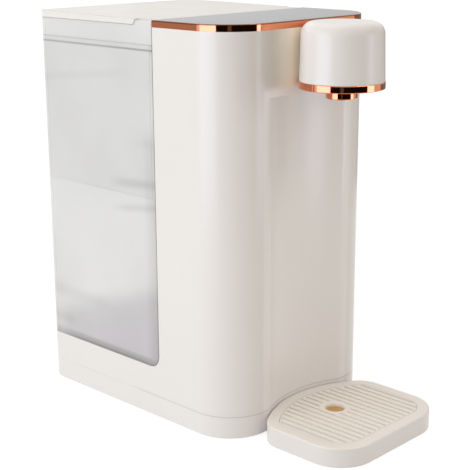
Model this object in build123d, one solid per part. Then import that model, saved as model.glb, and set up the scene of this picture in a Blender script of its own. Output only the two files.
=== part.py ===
from build123d import *

import math
import os

# Countertop hot water dispenser
#
# All sizes are millimetres. +Z is up, -Y is the front where the cup stands, +X is the user's right.
# The origin is on the worktop, under the middle of the whole appliance.

# Body
BODY_WIDTH = 162.0
BODY_DEPTH = 204.0
TOWER_DEPTH = 76.0
PANEL_TOP = 300.0
BAND_HEIGHT = 5.0
DECK_Z = 40.0
WALL = 2.5
FRONT_CORNER = 34.5
REAR_CORNER = 5.0
HEEL_RADIUS = 8.0
HAUNCH_RADIUS = 10.0
SEAM_Z = 17.2
SEAM_GAP = 0.1
FIT = 0.2

# Cup recess in the front wall
RECESS_MARGIN = 5.0
RECESS_DEPTH = 10.3
RECESS_DROP = 51.3
RECESS_EDGE = 12.0

# Base pan and feet
FOOT_PROUD = 0.6
PAN_FLOOR = 2.5
PAN_EDGE = 0.8
LIP_HEIGHT = 3.0
LIP_WALL = 1.5
FOOT_RADIUS = 8.0
FOOT_HEIGHT = 3.0
FOOT_FRONT = 27.0
FOOT_REAR = 17.0
FOOT_INSET = 25.0
BOSS_RADIUS = 5.0
BOSS_INSET = 7.0
BOSS_FRONT = 43.0
BOSS_REAR = 13.0
SCREW_RADIUS = 1.5
SCREW_LENGTH = 23.5
SCREW_HEAD = 3.2
SCREW_HEAD_HEIGHT = 2.2
SCREW_SINK = 0.8
THREAD_GAP = 0.05
VENT_COUNT = 7
VENT_PITCH = 8.0
VENT_WIDTH = 3.0
VENT_LENGTH = 34.0

# Top: deck, trim band, touch panel and its board
TRIM_WALL = 1.6
GLASS_THICK = 3.0
GLASS_GAP = 0.15
DECK_DROP = 14.0
DECK_PLATE = 2.0
DECK_WALL = 2.0
BOARD_THICK = 1.6
BOARD_LIFT = 3.4
DECK_POST_INSET = 33.0
DECK_POST_RADIUS = 3.0
DECK_POST_FRONT = 18.0
DECK_POST_REAR = 14.0
BOARD_INSET = 27.0
BOARD_FRONT = 13.0
BOARD_REAR = 9.0
CHIP_X = -4.0
CHIP_WIDTH = 16.0
CHIP_DEPTH = 12.0
CHIP_HEIGHT = 1.5
CHIP_SETBACK = 36.0
PLUG_SOCKET_X = 29.0
PLUG_SOCKET_WIDTH = 18.0
PLUG_SOCKET_DEPTH = 8.0
PLUG_SOCKET_HEIGHT = 2.5
PLUG_SOCKET_SETBACK = 48.0
PAD_RADIUS = 5.0
PAD_COUNT = 5
PAD_PITCH = 19.0
PAD_SETBACK = 21.0

# Tap head
HEAD_REACH = 29.1
HEAD_RADIUS = 29.95
HEAD_TOP_RADIUS = 29.0
HEAD_EDGE = 8.5
HEAD_HEIGHT = 40.6
HEAD_WALL = 2.4
RING_RADIUS = 30.25
RING_HEIGHT = 5.1
NOZZLE_RADIUS = 11.1
NOZZLE_DROP = 7.3
NOZZLE_EDGE = 0.6
RING_EDGE = 0.4
SPOUT_RADIUS = 8.2
SPOUT_BORE = 4.0
PORT_WIDTH = 10.0
PORT_HEIGHT = 20.0
PORT_DROP = 28.0
PORT_GAP = 0.15
ARM_HALF = 14.0
ARM_PLATE = 2.5
ARM_BELOW = 4.0
ARM_ABOVE = 3.5
ARM_COLLAR = 3.0
HOSE_SPACE = 0.1

# Hoses and their nipples
NIPPLE_RADIUS = 2.5
NIPPLE_BORE = 1.5
HOSE_RADIUS = 4.0
HOSE_BORE = 2.6
HOSE_OVERLAP = 6.0
HOSE_BEND = 6.0
CLIP_WALL = 1.0
CLIP_WIDTH = 4.0

# Heater
HEATER_INSET = 54.0
HEATER_SETBACK = 45.0
HEATER_RADIUS = 18.0
HEATER_DROP = 47.0
HEATER_LENGTH = 130.0
CAP_WALL = 2.0
CAP_HEIGHT = 8.0
CAP_SKIRT = 6.0
NIPPLE_LENGTH = 9.0
CLAMP_WIDTH = 8.0
CLAMP_OFFSET = 38.0
CLAMP_WALL = 2.2
CLAMP_NECK = 8.0
CLAMP_PLATE = 2.5
CLAMP_PLATE_HALF = 14.0
CUTOUT_OFFSET = 11.5
CUTOUT_RADIUS = 6.2
CUTOUT_HEIGHT = 6.0
CUTOUT_FLANGE_RADIUS = 7.5
CUTOUT_FLANGE = 1.5
TAB_PITCH = 6.0
TAB_WIDTH = 3.0
TAB_THICK = 0.8
TAB_HEIGHT = 6.0

# Pump
PUMP_X = 18.0
PUMP_SETBACK = 157.0
PUMP_Z = 20.5
PUMP_HEAD_RADIUS = 15.0
PUMP_HEAD_LENGTH = 18.0
PUMP_HEAD_WALL = 3.0
MOTOR_RADIUS = 13.2
MOTOR_LENGTH = 50.0
MOTOR_RING = 1.6
ROTOR_GAP = 0.4
ROTOR_HUB = 3.2
ROTOR_VANES = 6
SHAFT_RADIUS = 1.5
RUNNING_FIT = 0.06

# Tank seat, flow sensor and valve, all on one line behind the tower
SEAT_SETBACK = 109.0
SEAT_RADIUS = 17.5
SEAT_BORE = 15.2
SEAT_DROP = 16.0
SEAT_FLOOR = 2.0
SEAT_FLANGE = 3.5
FLOW_Z = 28.0
FLOW_X = 43.3
FLOW_RADIUS = 8.5
FLOW_LENGTH = 18.0
FLOW_WALL = 2.0
SPIGOT_RADIUS = 13.0
SPIGOT_WALL = 2.5
SPIGOT_DROP = 9.4
PIN_RADIUS = 2.2
PIN_TOP = 36.2
VALVE_TRAVEL = 3.0
STEM_RADIUS = 2.5
DISC_RADIUS = 8.8
CAGE_HEIGHT = 14.0

# Tank
TANK_GAP = 0.6
TANK_LIFT = 0.3
TANK_WALL = 2.5
TANK_FLOOR = 3.5
TANK_FOOT_RADIUS = 3.0
RIM_DROP = 4.3
EAR_DEPTH = 15.0
EAR_STEP = 5.0
EAR_DROP = 0.4
FRONT_WALL_DROP = 4.5
LEVEL_LINE_Z = 171.0
LEVEL_RIB = 0.3

# Lid
LID_OVERHANG = 0.4
LID_GAP = 0.3
LID_RISE = 1.2
LID_PLATE = 2.2
BARREL_RADIUS = 3.9
HINGE_PIN = 2.0
HINGE_PIN_LENGTH = 1.7
PLUG_WALL = 1.8
PLUG_GAP = 2.0
PLUG_REAR_GAP = 3.3
PLUG_DEPTH = 18.0
GASKET_HEIGHT = 4.0
GASKET_THICK = 1.7

# Level float
FLOAT_INSET = 36.0
FLOAT_FORWARD = 14.0
FLOAT_RADIUS = 9.0
FLOAT_HEIGHT = 12.0
FLOAT_TRAVEL = 13.0
POST_RADIUS = 2.0

# Drip tray and grille
TRAY_REACH = 86.0
TRAY_WING = 18.0
TRAY_HEIGHT = 14.6
TRAY_FRONT_CORNER = 28.0
TRAY_REAR_CORNER = 20.0
TRAY_GAP = 0.6
TRAY_WALL = 2.2
TRAY_EDGE = 1.2
TRAY_FOOT_EDGE = 0.6
TRAY_FLOOR = 3.2
GRILLE_INSET = 9.0
GRILLE_THICK = 2.5
GRILLE_GAP = 0.25
LEDGE = 2.0
SLOT_COUNT = 17
SLOT_PITCH = 5.9
SLOT_WIDTH = 1.7
SLOT_MARGIN = 1.2
HOLE_RADIUS = 7.5
HOLE_RING = 4.0
HOLE_EDGE = 0.6

# Mains gland, level sensor and power board
GLAND_INSET = 31.0
GLAND_Z = 29.0
GLAND_RADIUS = 7.5
GLAND_BARREL = 5.5
GLAND_BORE = 3.3
GLAND_FLANGE = 1.5
GLAND_LENGTH = 15.0
BOARD_WIDTH = 40.0
BOARD_HEIGHT = 140.0
BOARD_LOW = 90.0
BOARD_SETBACK = 2.0
BOARD_BLOCKS = [(7, 23, 8, 22, 15), (3, 19, 40, 58, 12), (25, 39, 70, 96, 10)]
CAN_RADIUS = 5.0
CAN_LENGTH = 18.0
CAN_INSET = 10.0
CAN_HEIGHTS = (16, 48)
SINK_INSET = 4.0
SINK_LIFT = 70.0
SINK_WIDTH = 17.6
SINK_HEIGHT = 48.0
SINK_PLATE = 3.0
FIN_COUNT = 5
FIN_THICK = 1.6
FIN_REACH = 13.0
STANDOFF = 7.5
STANDOFF_RADIUS = 3.0
STANDOFF_INSET = 6.0
REED_HEIGHT = 16.0

# Places worked out from the sizes
Y_FRONT = -(BODY_DEPTH + LID_OVERHANG - TRAY_REACH) / 2
Y_REAR = Y_FRONT + BODY_DEPTH
Y_TOWER = Y_FRONT + TOWER_DEPTH
HALF = BODY_WIDTH / 2
BODY_TOP = PANEL_TOP - BAND_HEIGHT
RECESS_HALF = HALF - FRONT_CORNER - RECESS_MARGIN
RECESS_TOP = PANEL_TOP - RECESS_DROP
RECESS_RADIUS = (RECESS_HALF ** 2 + RECESS_DEPTH ** 2) / (2 * RECESS_DEPTH)
RECESS_Y = Y_FRONT + RECESS_DEPTH - RECESS_RADIUS
PAN_TOP = FOOT_PROUD + PAN_FLOOR
DECK_UNDER = DECK_Z - WALL
GLASS_UNDER = PANEL_TOP - GLASS_THICK
TOP_DECK_Z = PANEL_TOP - DECK_DROP
HEAD_Y = Y_FRONT - HEAD_REACH
HEAD_BOTTOM = PANEL_TOP - HEAD_HEIGHT
PORT_Z = PANEL_TOP - PORT_DROP
PORT_LOW = PORT_Z - PORT_HEIGHT / 2
PORT_HIGH = PORT_Z + PORT_HEIGHT / 2
RING_BOTTOM = HEAD_BOTTOM - RING_HEIGHT
NOZZLE_BOTTOM = RING_BOTTOM - NOZZLE_DROP
SEAT_Y = Y_FRONT + SEAT_SETBACK
HEATER_Y = Y_FRONT + HEATER_SETBACK
HEATER_X = HALF - HEATER_INSET
HEATER_TOP = PORT_Z - HEATER_DROP
HEATER_LOW = HEATER_TOP - HEATER_LENGTH
PUMP_Y = Y_FRONT + PUMP_SETBACK
PUMP_OUTLET_X = PUMP_X + PUMP_HEAD_LENGTH / 2
TANK_FRONT = Y_TOWER + TANK_GAP
TANK_BOTTOM = DECK_Z + TANK_LIFT
TANK_INSIDE = TANK_BOTTOM + TANK_FLOOR
TANK_INNER_HALF = HALF - TANK_WALL
RIM_Z = PANEL_TOP - RIM_DROP
EAR_TOP = PANEL_TOP - EAR_DROP
EAR_FRONT_TOP = TANK_FRONT + EAR_DEPTH
EAR_REAR_FOOT = EAR_FRONT_TOP + EAR_STEP
HINGE_Y = Y_TOWER + TANK_GAP - 0.1 + BARREL_RADIUS
HINGE_Z = EAR_TOP + LID_GAP - BARREL_RADIUS
LID_REAR = Y_REAR + LID_OVERHANG
LID_BOTTOM = RIM_Z + LID_GAP
PLUG_BOTTOM = HINGE_Z - PLUG_DEPTH
SEAT_BOTTOM = DECK_Z - SEAT_DROP
FLOAT_Y = TANK_FRONT + TANK_WALL + FLOAT_FORWARD
FLOAT_X = FLOAT_INSET - HALF
FLOAT_LOW = TANK_INSIDE + 2.2
GLAND_X = GLAND_INSET - HALF
TRAY_FRONT = Y_FRONT - TRAY_REACH
BOARD_X = -HALF + WALL + STANDOFF
BOARD_Y = Y_TOWER - WALL - BOARD_SETBACK - BOARD_WIDTH
TRAY_ARC = RECESS_RADIUS - TRAY_GAP
BOSS_X = HALF - BOSS_INSET
FOOT_X = HALF - FOOT_INSET
SCREW_PLACES = [(x, y) for x in (-BOSS_X, BOSS_X) for y in (Y_FRONT + BOSS_FRONT, Y_REAR - BOSS_REAR)]
FOOT_PLACES = [(x, y) for x in (-FOOT_X, FOOT_X) for y in (Y_FRONT + FOOT_FRONT, Y_REAR - FOOT_REAR)]


# Helpers
def prism(face, low, high):
    """A plan outline raised from one height to another."""
    return extrude(Plane.XY.offset(low) * face, amount=high - low)


def across(face, x0, x1):
    """A side-view outline, drawn as (y, z), carried across from x0 to x1."""
    return extrude(Plane.YZ.offset(x0) * face, amount=x1 - x0)


def block(x0, x1, y0, y1, z0, z1):
    return Pos((x0 + x1) / 2, (y0 + y1) / 2, (z0 + z1) / 2) * Box(x1 - x0, y1 - y0, z1 - z0)


def rod_z(x, y, radius, z0, z1):
    return Pos(x, y, (z0 + z1) / 2) * Cylinder(radius, z1 - z0)


def rod_x(y, z, radius, x0, x1):
    return Pos((x0 + x1) / 2, y, z) * Rot(0, 90, 0) * Cylinder(radius, x1 - x0)


def rod_y(x, z, radius, y0, y1):
    return Pos(x, (y0 + y1) / 2, z) * Rot(90, 0, 0) * Cylinder(radius, y1 - y0)


def tube_z(x, y, outer, inner, z0, z1):
    return rod_z(x, y, outer, z0, z1) - rod_z(x, y, inner, z0 - 1, z1 + 1)


def turned(points, x=0.0, y=0.0):
    """A solid of revolution from (radius, height) points, round the vertical line at x, y."""
    face = Plane.XZ * make_face(Polyline(*points, close=True))
    return Pos(x, y, 0) * revolve(face, Axis.Z)


def hose(radii, *points):
    """A hose along straight runs with round bends."""
    if len(points) > 2:
        path = FilletPolyline(*points, radius=radii)
    else:
        path = Line(*points)
    start = Plane(path @ 0, z_dir=path % 0)
    return sweep(start * Circle(HOSE_RADIUS), path) - sweep(start * Circle(HOSE_BORE), path)


def body_plan(inset, rear, rear_corner=0.0):
    """Outline of the body in plan: round front corners, and a rear edge at the given y."""
    front = Y_FRONT + inset
    rear = rear - inset
    face = Pos(0, (front + rear) / 2) * Rectangle(BODY_WIDTH - 2 * inset, rear - front)
    face = fillet(face.vertices().group_by(Axis.Y)[0], FRONT_CORNER - inset)
    if rear_corner > inset:
        face = fillet(face.vertices().group_by(Axis.Y)[-1], rear_corner - inset)
    return face


def base_plan(inset):
    return body_plan(inset, Y_REAR, REAR_CORNER)


def tower_plan(inset):
    return body_plan(inset, Y_TOWER)


def recess_disc(grow):
    """The round cylinder that hollows the front for the cup."""
    return Pos(0, RECESS_Y) * Circle(RECESS_RADIUS + grow)


def hollowed(plan):
    """A body outline with the cup recess cut in, and the two corners there rounded."""
    face = plan - recess_disc(0)
    corners = [v for v in face.vertices() if abs(abs(v.X) - RECESS_HALF) < 0.1 and v.Y < Y_FRONT + 0.1]
    return fillet(corners, RECESS_EDGE)


# Housing
def screw_bosses(radius, z0, z1):
    posts = [rod_z(x, y, radius, z0, z1) for x, y in SCREW_PLACES]
    return posts[0] + posts[1:]


def housing():
    """L-shaped shell: a tower in front, and a low base that runs back under the tank."""
    low = SEAM_Z + SEAM_GAP / 2
    outer = prism(hollowed(base_plan(0)), low, DECK_Z) + prism(hollowed(tower_plan(0)), low, RECESS_TOP)
    outer += prism(tower_plan(0), RECESS_TOP, BODY_TOP)
    corner = Pos(Y_TOWER + HAUNCH_RADIUS / 2 - 1, DECK_Z + HAUNCH_RADIUS / 2 - 1)
    haunch = corner * Rectangle(HAUNCH_RADIUS + 2, HAUNCH_RADIUS + 2)
    haunch -= Pos(Y_TOWER + HAUNCH_RADIUS, DECK_Z + HAUNCH_RADIUS) * Circle(HAUNCH_RADIUS)
    haunch = haunch & (Pos(Y_TOWER, DECK_Z) * Rectangle(2 * HAUNCH_RADIUS, 2 * HAUNCH_RADIUS))
    outer += across(haunch, -HALF, HALF)

    cavity = prism(base_plan(WALL), low - 1, DECK_UNDER) + prism(tower_plan(WALL), low - 1, BODY_TOP + 1)
    cavity -= prism(recess_disc(WALL), 0, RECESS_TOP + WALL)
    for x, y in SCREW_PLACES:
        cavity -= rod_z(x, y, BOSS_RADIUS, 0, DECK_UNDER + WALL)
    shell = outer - cavity

    rim = HALF - TRIM_WALL - GLASS_GAP
    shell += block(-rim, rim, Y_TOWER - WALL, Y_TOWER, BODY_TOP, GLASS_UNDER - 0.1)
    ledge_y = (Y_FRONT + FRONT_CORNER, Y_TOWER - WALL)
    for side in (-1, 1):
        edge = sorted((side * (HALF - WALL), side * (HALF - WALL - 4)))
        shell += block(*edge, *ledge_y, TOP_DECK_Z - 3, TOP_DECK_Z)

    screw_end = FOOT_PROUD + SCREW_SINK + SCREW_HEAD_HEIGHT + SCREW_LENGTH
    shell -= screw_bosses(SCREW_RADIUS + THREAD_GAP, low - 1, screw_end + 0.8)
    shell -= rod_z(0, SEAT_Y, SEAT_RADIUS + FIT, DECK_UNDER - 1, DECK_Z + 1)
    port = PORT_WIDTH / 2
    shell -= block(-port, port, Y_FRONT - 1, Y_FRONT + WALL + 1, PORT_LOW, PORT_HIGH)
    shell -= rod_y(GLAND_X, GLAND_Z, GLAND_BARREL + 0.1, Y_REAR - WALL - 1, Y_REAR + 1)
    shell -= rod_y(GLAND_X, GLAND_Z, GLAND_RADIUS + FIT, Y_REAR - GLAND_FLANGE, Y_REAR + 1)
    return shell


def make_tower_shell():
    """Front moulding: the tower with the cup recess. It meets the rear base flush."""
    return housing() - block(-BODY_WIDTH, BODY_WIDTH, Y_TOWER, Y_REAR + 9, 0, DECK_Z + 2 * HAUNCH_RADIUS)


def make_base_deck():
    """Rear moulding: the low base and the deck that the tank stands on."""
    return housing() & block(-BODY_WIDTH, BODY_WIDTH, Y_TOWER, Y_REAR + 9, 0, DECK_Z + 2 * HAUNCH_RADIUS)


def make_base_pan():
    """Shallow pan that closes the housing from below and carries the pump."""
    top = SEAM_Z - SEAM_GAP / 2
    pan = prism(hollowed(base_plan(0)), FOOT_PROUD, top)
    pan = chamfer(pan.edges().group_by(Axis.Z)[0], PAN_EDGE)
    tall = top + 100
    side = Pos((Y_FRONT + Y_REAR) / 2, FOOT_PROUD + tall / 2) * Rectangle(BODY_DEPTH, tall)
    heel = [v for v in side.vertices().group_by(Axis.Y)[0] if v.X > 0]
    pan = pan & across(fillet(heel, HEEL_RADIUS), -HALF, HALF)
    pan -= prism(base_plan(WALL), PAN_TOP, top + 1) - prism(recess_disc(WALL), 0, top + 2)
    inner = WALL + FIT + LIP_WALL
    rim = prism(base_plan(WALL + FIT), top - 6, top + LIP_HEIGHT) + prism(base_plan(WALL / 2), top - 6, top)
    rim -= prism(base_plan(inner), 0, top + 9)
    rim -= prism(recess_disc(inner), 0, top + 9)
    rim -= screw_bosses(BOSS_RADIUS + FIT, top, top + 9)
    pan += rim

    pan += screw_bosses(BOSS_RADIUS, FOOT_PROUD, SEAM_Z + SEAM_GAP / 2)
    pan -= screw_bosses(SCREW_RADIUS + FIT, 0, SEAM_Z + 9)
    pan -= screw_bosses(SCREW_HEAD + FIT, 0, FOOT_PROUD + SCREW_SINK + SCREW_HEAD_HEIGHT)
    for x, y in FOOT_PLACES:
        pan += rod_z(x, y, FOOT_RADIUS + 2, FOOT_PROUD + 1, PAN_TOP + 1.5)
        pan -= rod_z(x, y, FOOT_RADIUS + FIT, 0, FOOT_HEIGHT)

    for x in (PUMP_X - MOTOR_LENGTH + 9, PUMP_X - 9):
        pan += block(x - 3, x + 3, PUMP_Y - 12, PUMP_Y + 12, FOOT_PROUD + 1, PUMP_Z - 5)
    pan -= rod_x(PUMP_Y, PUMP_Z, MOTOR_RADIUS + MOTOR_RING, PUMP_X - MOTOR_LENGTH, PUMP_X)
    pan += block(FLOW_X - 5, FLOW_X + 5, SEAT_Y - 6, SEAT_Y + 6, FOOT_PROUD + 1, FLOW_Z - 4)
    pan -= rod_x(SEAT_Y, FLOW_Z, FLOW_RADIUS, FLOW_X - 8, FLOW_X + 8)

    start = -(VENT_COUNT - 1) / 2 * VENT_PITCH
    for i in range(VENT_COUNT):
        slot = Pos(start + i * VENT_PITCH, Y_TOWER - 22) * SlotOverall(VENT_LENGTH, VENT_WIDTH, rotation=90)
        pan -= prism(slot, 0, PAN_TOP + 1)
    return pan


def make_foot_pads():
    pads = []
    for x, y in FOOT_PLACES:
        pad = rod_z(x, y, FOOT_RADIUS, 0, FOOT_HEIGHT)
        pads.append(chamfer(pad.edges().group_by(Axis.Z)[0], 0.5))
    return Compound(pads)


def make_base_screws():
    screws = []
    head_low = FOOT_PROUD + SCREW_SINK
    head_high = head_low + SCREW_HEAD_HEIGHT
    for x, y in SCREW_PLACES:
        head = rod_z(x, y, SCREW_HEAD, head_low, head_high) - rod_z(x, y, 1.2, head_low - 1, head_low + 1.2)
        screws.append(head + rod_z(x, y, SCREW_RADIUS, head_high, head_high + SCREW_LENGTH))
    return Compound(screws)


# Top
def make_top_deck():
    """Tray under the glass that carries the touch board."""
    inset = WALL + FIT
    deck = prism(tower_plan(inset), TOP_DECK_Z, GLASS_UNDER)
    deck -= prism(tower_plan(inset + DECK_WALL), TOP_DECK_Z + DECK_PLATE, GLASS_UNDER + 1)
    floor = TOP_DECK_Z + DECK_PLATE
    for x in (DECK_POST_INSET - HALF, HALF - DECK_POST_INSET):
        for y in (Y_FRONT + DECK_POST_FRONT, Y_TOWER - DECK_POST_REAR):
            deck += rod_z(x, y, DECK_POST_RADIUS, floor, floor + BOARD_LIFT)
    return deck


def make_trim_band():
    """Plated band round the top edge, open at the rear where the tank stands."""
    band = prism(tower_plan(0), BODY_TOP, PANEL_TOP)
    open_rear = Y_TOWER + 20
    band = chamfer(band.edges().group_by(Axis.Z)[-1], 0.4)
    band -= prism(body_plan(TRIM_WALL, open_rear), GLASS_UNDER, PANEL_TOP + 1)
    band -= prism(body_plan(WALL + 0.1, open_rear), BODY_TOP - 1, PANEL_TOP)
    half = HALF - TRIM_WALL
    return band - block(-half, half, Y_TOWER - WALL - 0.1, Y_TOWER + 1, BODY_TOP - 1, PANEL_TOP + 1)


def make_touch_panel():
    inset = TRIM_WALL + GLASS_GAP
    panel = prism(body_plan(inset, Y_TOWER + inset - 0.3), GLASS_UNDER, PANEL_TOP)
    return chamfer(panel.edges().group_by(Axis.Z)[-1], 0.25)


def make_touch_board():
    low = TOP_DECK_Z + DECK_PLATE + BOARD_LIFT
    half = HALF - BOARD_INSET
    top = low + BOARD_THICK
    board = block(-half, half, Y_FRONT + BOARD_FRONT, Y_TOWER - BOARD_REAR, low, top)
    chip = Box(CHIP_WIDTH, CHIP_DEPTH, CHIP_HEIGHT)
    board += Pos(CHIP_X, Y_FRONT + CHIP_SETBACK, top + CHIP_HEIGHT / 2) * chip
    socket = Box(PLUG_SOCKET_WIDTH, PLUG_SOCKET_DEPTH, PLUG_SOCKET_HEIGHT)
    return board + Pos(PLUG_SOCKET_X, Y_FRONT + PLUG_SOCKET_SETBACK, top + PLUG_SOCKET_HEIGHT / 2) * socket


def make_touch_pads():
    low = TOP_DECK_Z + DECK_PLATE + BOARD_LIFT + BOARD_THICK
    start = -(PAD_COUNT - 1) / 2 * PAD_PITCH
    row = Y_FRONT + PAD_SETBACK
    pads = [rod_z(start + i * PAD_PITCH, row, PAD_RADIUS, low, GLASS_UNDER) for i in range(PAD_COUNT)]
    return Compound(pads)


# Tap head
def front_only(solid):
    """Cuts what would stand behind the front face of the body."""
    return solid - block(-HALF, HALF, Y_FRONT, Y_REAR, 0, PANEL_TOP + 50)


def head_outline(inset):
    low, high = HEAD_BOTTOM, PANEL_TOP - inset
    side = HEAD_TOP_RADIUS - inset
    edge = HEAD_EDGE - inset
    line = Line((0, low), (HEAD_RADIUS - inset, low)) + Line((HEAD_RADIUS - inset, low), (side, high - edge))
    line += RadiusArc((side, high - edge), (side - edge, high), -edge)
    line += Line((side - edge, high), (0, high)) + Line((0, high), (0, low))
    return make_face(line)


def make_head_shell():
    """Upside-down cup with a soft top edge, let into the front of the body along a narrow flat."""
    outer = Pos(0, HEAD_Y, 0) * revolve(Plane.XZ * head_outline(0), Axis.Z)
    inner = Pos(0, HEAD_Y, 0) * revolve(Plane.XZ * head_outline(HEAD_WALL), Axis.Z)
    mouth = rod_z(0, HEAD_Y, HEAD_RADIUS - HEAD_WALL, HEAD_BOTTOM - 1, HEAD_BOTTOM + 1)
    shell = front_only(outer - inner - mouth)
    half = PORT_WIDTH / 2
    return shell - block(-half, half, HEAD_Y, Y_FRONT + 1, PORT_LOW, PORT_HIGH)


def make_head_ring():
    inner = HEAD_RADIUS - HEAD_WALL
    mid = RING_RADIUS - RING_EDGE
    ring = turned([(inner, RING_BOTTOM), (mid, RING_BOTTOM), (RING_RADIUS, RING_BOTTOM + RING_EDGE),
                   (RING_RADIUS, HEAD_BOTTOM - RING_EDGE), (mid, HEAD_BOTTOM), (inner, HEAD_BOTTOM)], 0, HEAD_Y)
    return front_only(ring)


def make_head_plate():
    """Round plate that closes the cup from below and holds the nozzle."""
    plate = rod_z(0, HEAD_Y, HEAD_RADIUS - HEAD_WALL - FIT, RING_BOTTOM + 0.5, RING_BOTTOM + 3)
    plate = front_only(plate)
    return plate - rod_z(0, HEAD_Y, SPOUT_RADIUS + FIT, RING_BOTTOM - 1, RING_BOTTOM + 9)


def make_nozzle_collar():
    inner = SPOUT_RADIUS + FIT
    top = RING_BOTTOM + 0.5
    low = NOZZLE_BOTTOM
    return turned([(inner, low), (NOZZLE_RADIUS - NOZZLE_EDGE, low), (NOZZLE_RADIUS, low + NOZZLE_EDGE),
                   (NOZZLE_RADIUS, top), (inner, top)], 0, HEAD_Y)


def make_spout():
    """Upright outlet chamber with a side nipple for the hose."""
    top = PORT_Z + 12
    body = rod_z(0, HEAD_Y, SPOUT_RADIUS, NOZZLE_BOTTOM + 1, top)
    body += rod_y(0, PORT_Z, NIPPLE_RADIUS, HEAD_Y, HEAD_Y + SPOUT_RADIUS + NIPPLE_LENGTH)
    body -= rod_z(0, HEAD_Y, SPOUT_BORE, NOZZLE_BOTTOM, top - 2)
    return body - rod_y(0, PORT_Z, NIPPLE_BORE, HEAD_Y, HEAD_Y + SPOUT_RADIUS + NIPPLE_LENGTH + 1)


def make_head_bracket():
    """Arm that carries the head: plate behind the front wall, box through it and collar on the spout."""
    wide = PORT_WIDTH / 2 - PORT_GAP
    high = PORT_HEIGHT / 2 - PORT_GAP
    back = Y_FRONT + WALL
    front = HEAD_Y + SPOUT_RADIUS + 1
    bore = HOSE_RADIUS + HOSE_SPACE
    z0, z1 = PORT_Z - high, PORT_Z + high
    behind = back + ARM_PLATE
    arm = block(-ARM_HALF, ARM_HALF, back, behind, z0 - ARM_BELOW, z1 + ARM_ABOVE)
    arm += block(-wide, wide, front, back, z0, z1)
    arm += rod_z(0, HEAD_Y, SPOUT_RADIUS + ARM_COLLAR, z0, z1)
    arm -= block(-bore, bore, front + 2, behind + 1, PORT_Z - HOSE_RADIUS - 1, PORT_Z + HOSE_RADIUS + 1)
    arm -= rod_y(0, PORT_Z, bore, HEAD_Y, behind + 1)
    return arm - rod_z(0, HEAD_Y, SPOUT_RADIUS + HOSE_SPACE, 0, PANEL_TOP)


# Heater
def make_heater_tube():
    return tube_z(HEATER_X, HEATER_Y, HEATER_RADIUS, HEATER_RADIUS - 1.2, HEATER_LOW, HEATER_TOP)


def make_heater_caps():
    """End caps of the heater, each with a nipple."""
    caps = []
    outer = HEATER_RADIUS + CAP_WALL
    for end, way in ((HEATER_LOW, -1), (HEATER_TOP, 1)):
        plate = sorted((end, end + way * CAP_HEIGHT))
        skirt = sorted((end, end - way * CAP_SKIRT))
        nipple = sorted((end, end + way * (CAP_HEIGHT + NIPPLE_LENGTH)))
        cap = rod_z(HEATER_X, HEATER_Y, outer, *plate)
        cap += tube_z(HEATER_X, HEATER_Y, outer, HEATER_RADIUS + 0.05, *skirt)
        cap += rod_z(HEATER_X, HEATER_Y, NIPPLE_RADIUS, *nipple)
        caps.append(cap - rod_z(HEATER_X, HEATER_Y, NIPPLE_BORE, nipple[0] - 1, nipple[1] + 1))
    return Compound(caps)


def make_heater_bracket():
    """Back plate on the tower's rear wall with two clamps round the heater."""
    back = Y_TOWER - WALL
    middle = (HEATER_LOW + HEATER_TOP) / 2
    span = CLAMP_OFFSET + CLAMP_WIDTH
    wide = CLAMP_PLATE_HALF
    bracket = block(HEATER_X - wide, HEATER_X + wide, back - CLAMP_PLATE, back, middle - span, middle + span)
    for z in (middle - CLAMP_OFFSET, middle + CLAMP_OFFSET):
        low, high = z - CLAMP_WIDTH / 2, z + CLAMP_WIDTH / 2
        bracket += rod_z(HEATER_X, HEATER_Y, HEATER_RADIUS + CLAMP_WALL, low, high)
        bracket += block(HEATER_X - CLAMP_NECK, HEATER_X + CLAMP_NECK, HEATER_Y, back - 1, low, high)
    return bracket - rod_z(HEATER_X, HEATER_Y, HEATER_RADIUS + 0.05, 0, PANEL_TOP)


def make_thermal_cutouts():
    """Two button thermostats on the top cap."""
    low = HEATER_TOP + CAP_HEIGHT
    high = low + CUTOUT_HEIGHT
    parts = []
    for side in (-1, 1):
        x = HEATER_X + side * CUTOUT_OFFSET
        button = rod_z(x, HEATER_Y, CUTOUT_FLANGE_RADIUS, low, low + CUTOUT_FLANGE)
        button += rod_z(x, HEATER_Y, CUTOUT_RADIUS, low + CUTOUT_FLANGE, high)
        for y in (HEATER_Y - TAB_PITCH / 2, HEATER_Y + TAB_PITCH / 2):
            button += Pos(x, y, high + TAB_HEIGHT / 2) * Box(TAB_WIDTH, TAB_THICK, TAB_HEIGHT)
        parts.append(button)
    return Compound(parts)


# Pump
def make_pump_motor():
    start = PUMP_X - MOTOR_LENGTH
    motor = rod_x(PUMP_Y, PUMP_Z, MOTOR_RADIUS, start + 3, PUMP_X)
    motor += rod_x(PUMP_Y, PUMP_Z, 5, start, start + 3)
    for y in (PUMP_Y - 7, PUMP_Y + 7):
        motor += block(start - 1, start + 3, y - 0.4, y + 0.4, PUMP_Z - 1.5, PUMP_Z + 1.5)
    return motor - rod_x(PUMP_Y, PUMP_Z, SHAFT_RADIUS + RUNNING_FIT, PUMP_X - 12, PUMP_X + 1)


def make_motor_rings():
    """Rubber rings between the motor and its cradles."""
    rings = []
    for x in (PUMP_X - MOTOR_LENGTH + 9, PUMP_X - 9):
        ring = rod_x(PUMP_Y, PUMP_Z, MOTOR_RADIUS + MOTOR_RING, x - 4, x + 4)
        rings.append(ring - rod_x(PUMP_Y, PUMP_Z, MOTOR_RADIUS, x - 5, x + 5))
    return Compound(rings)


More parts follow.
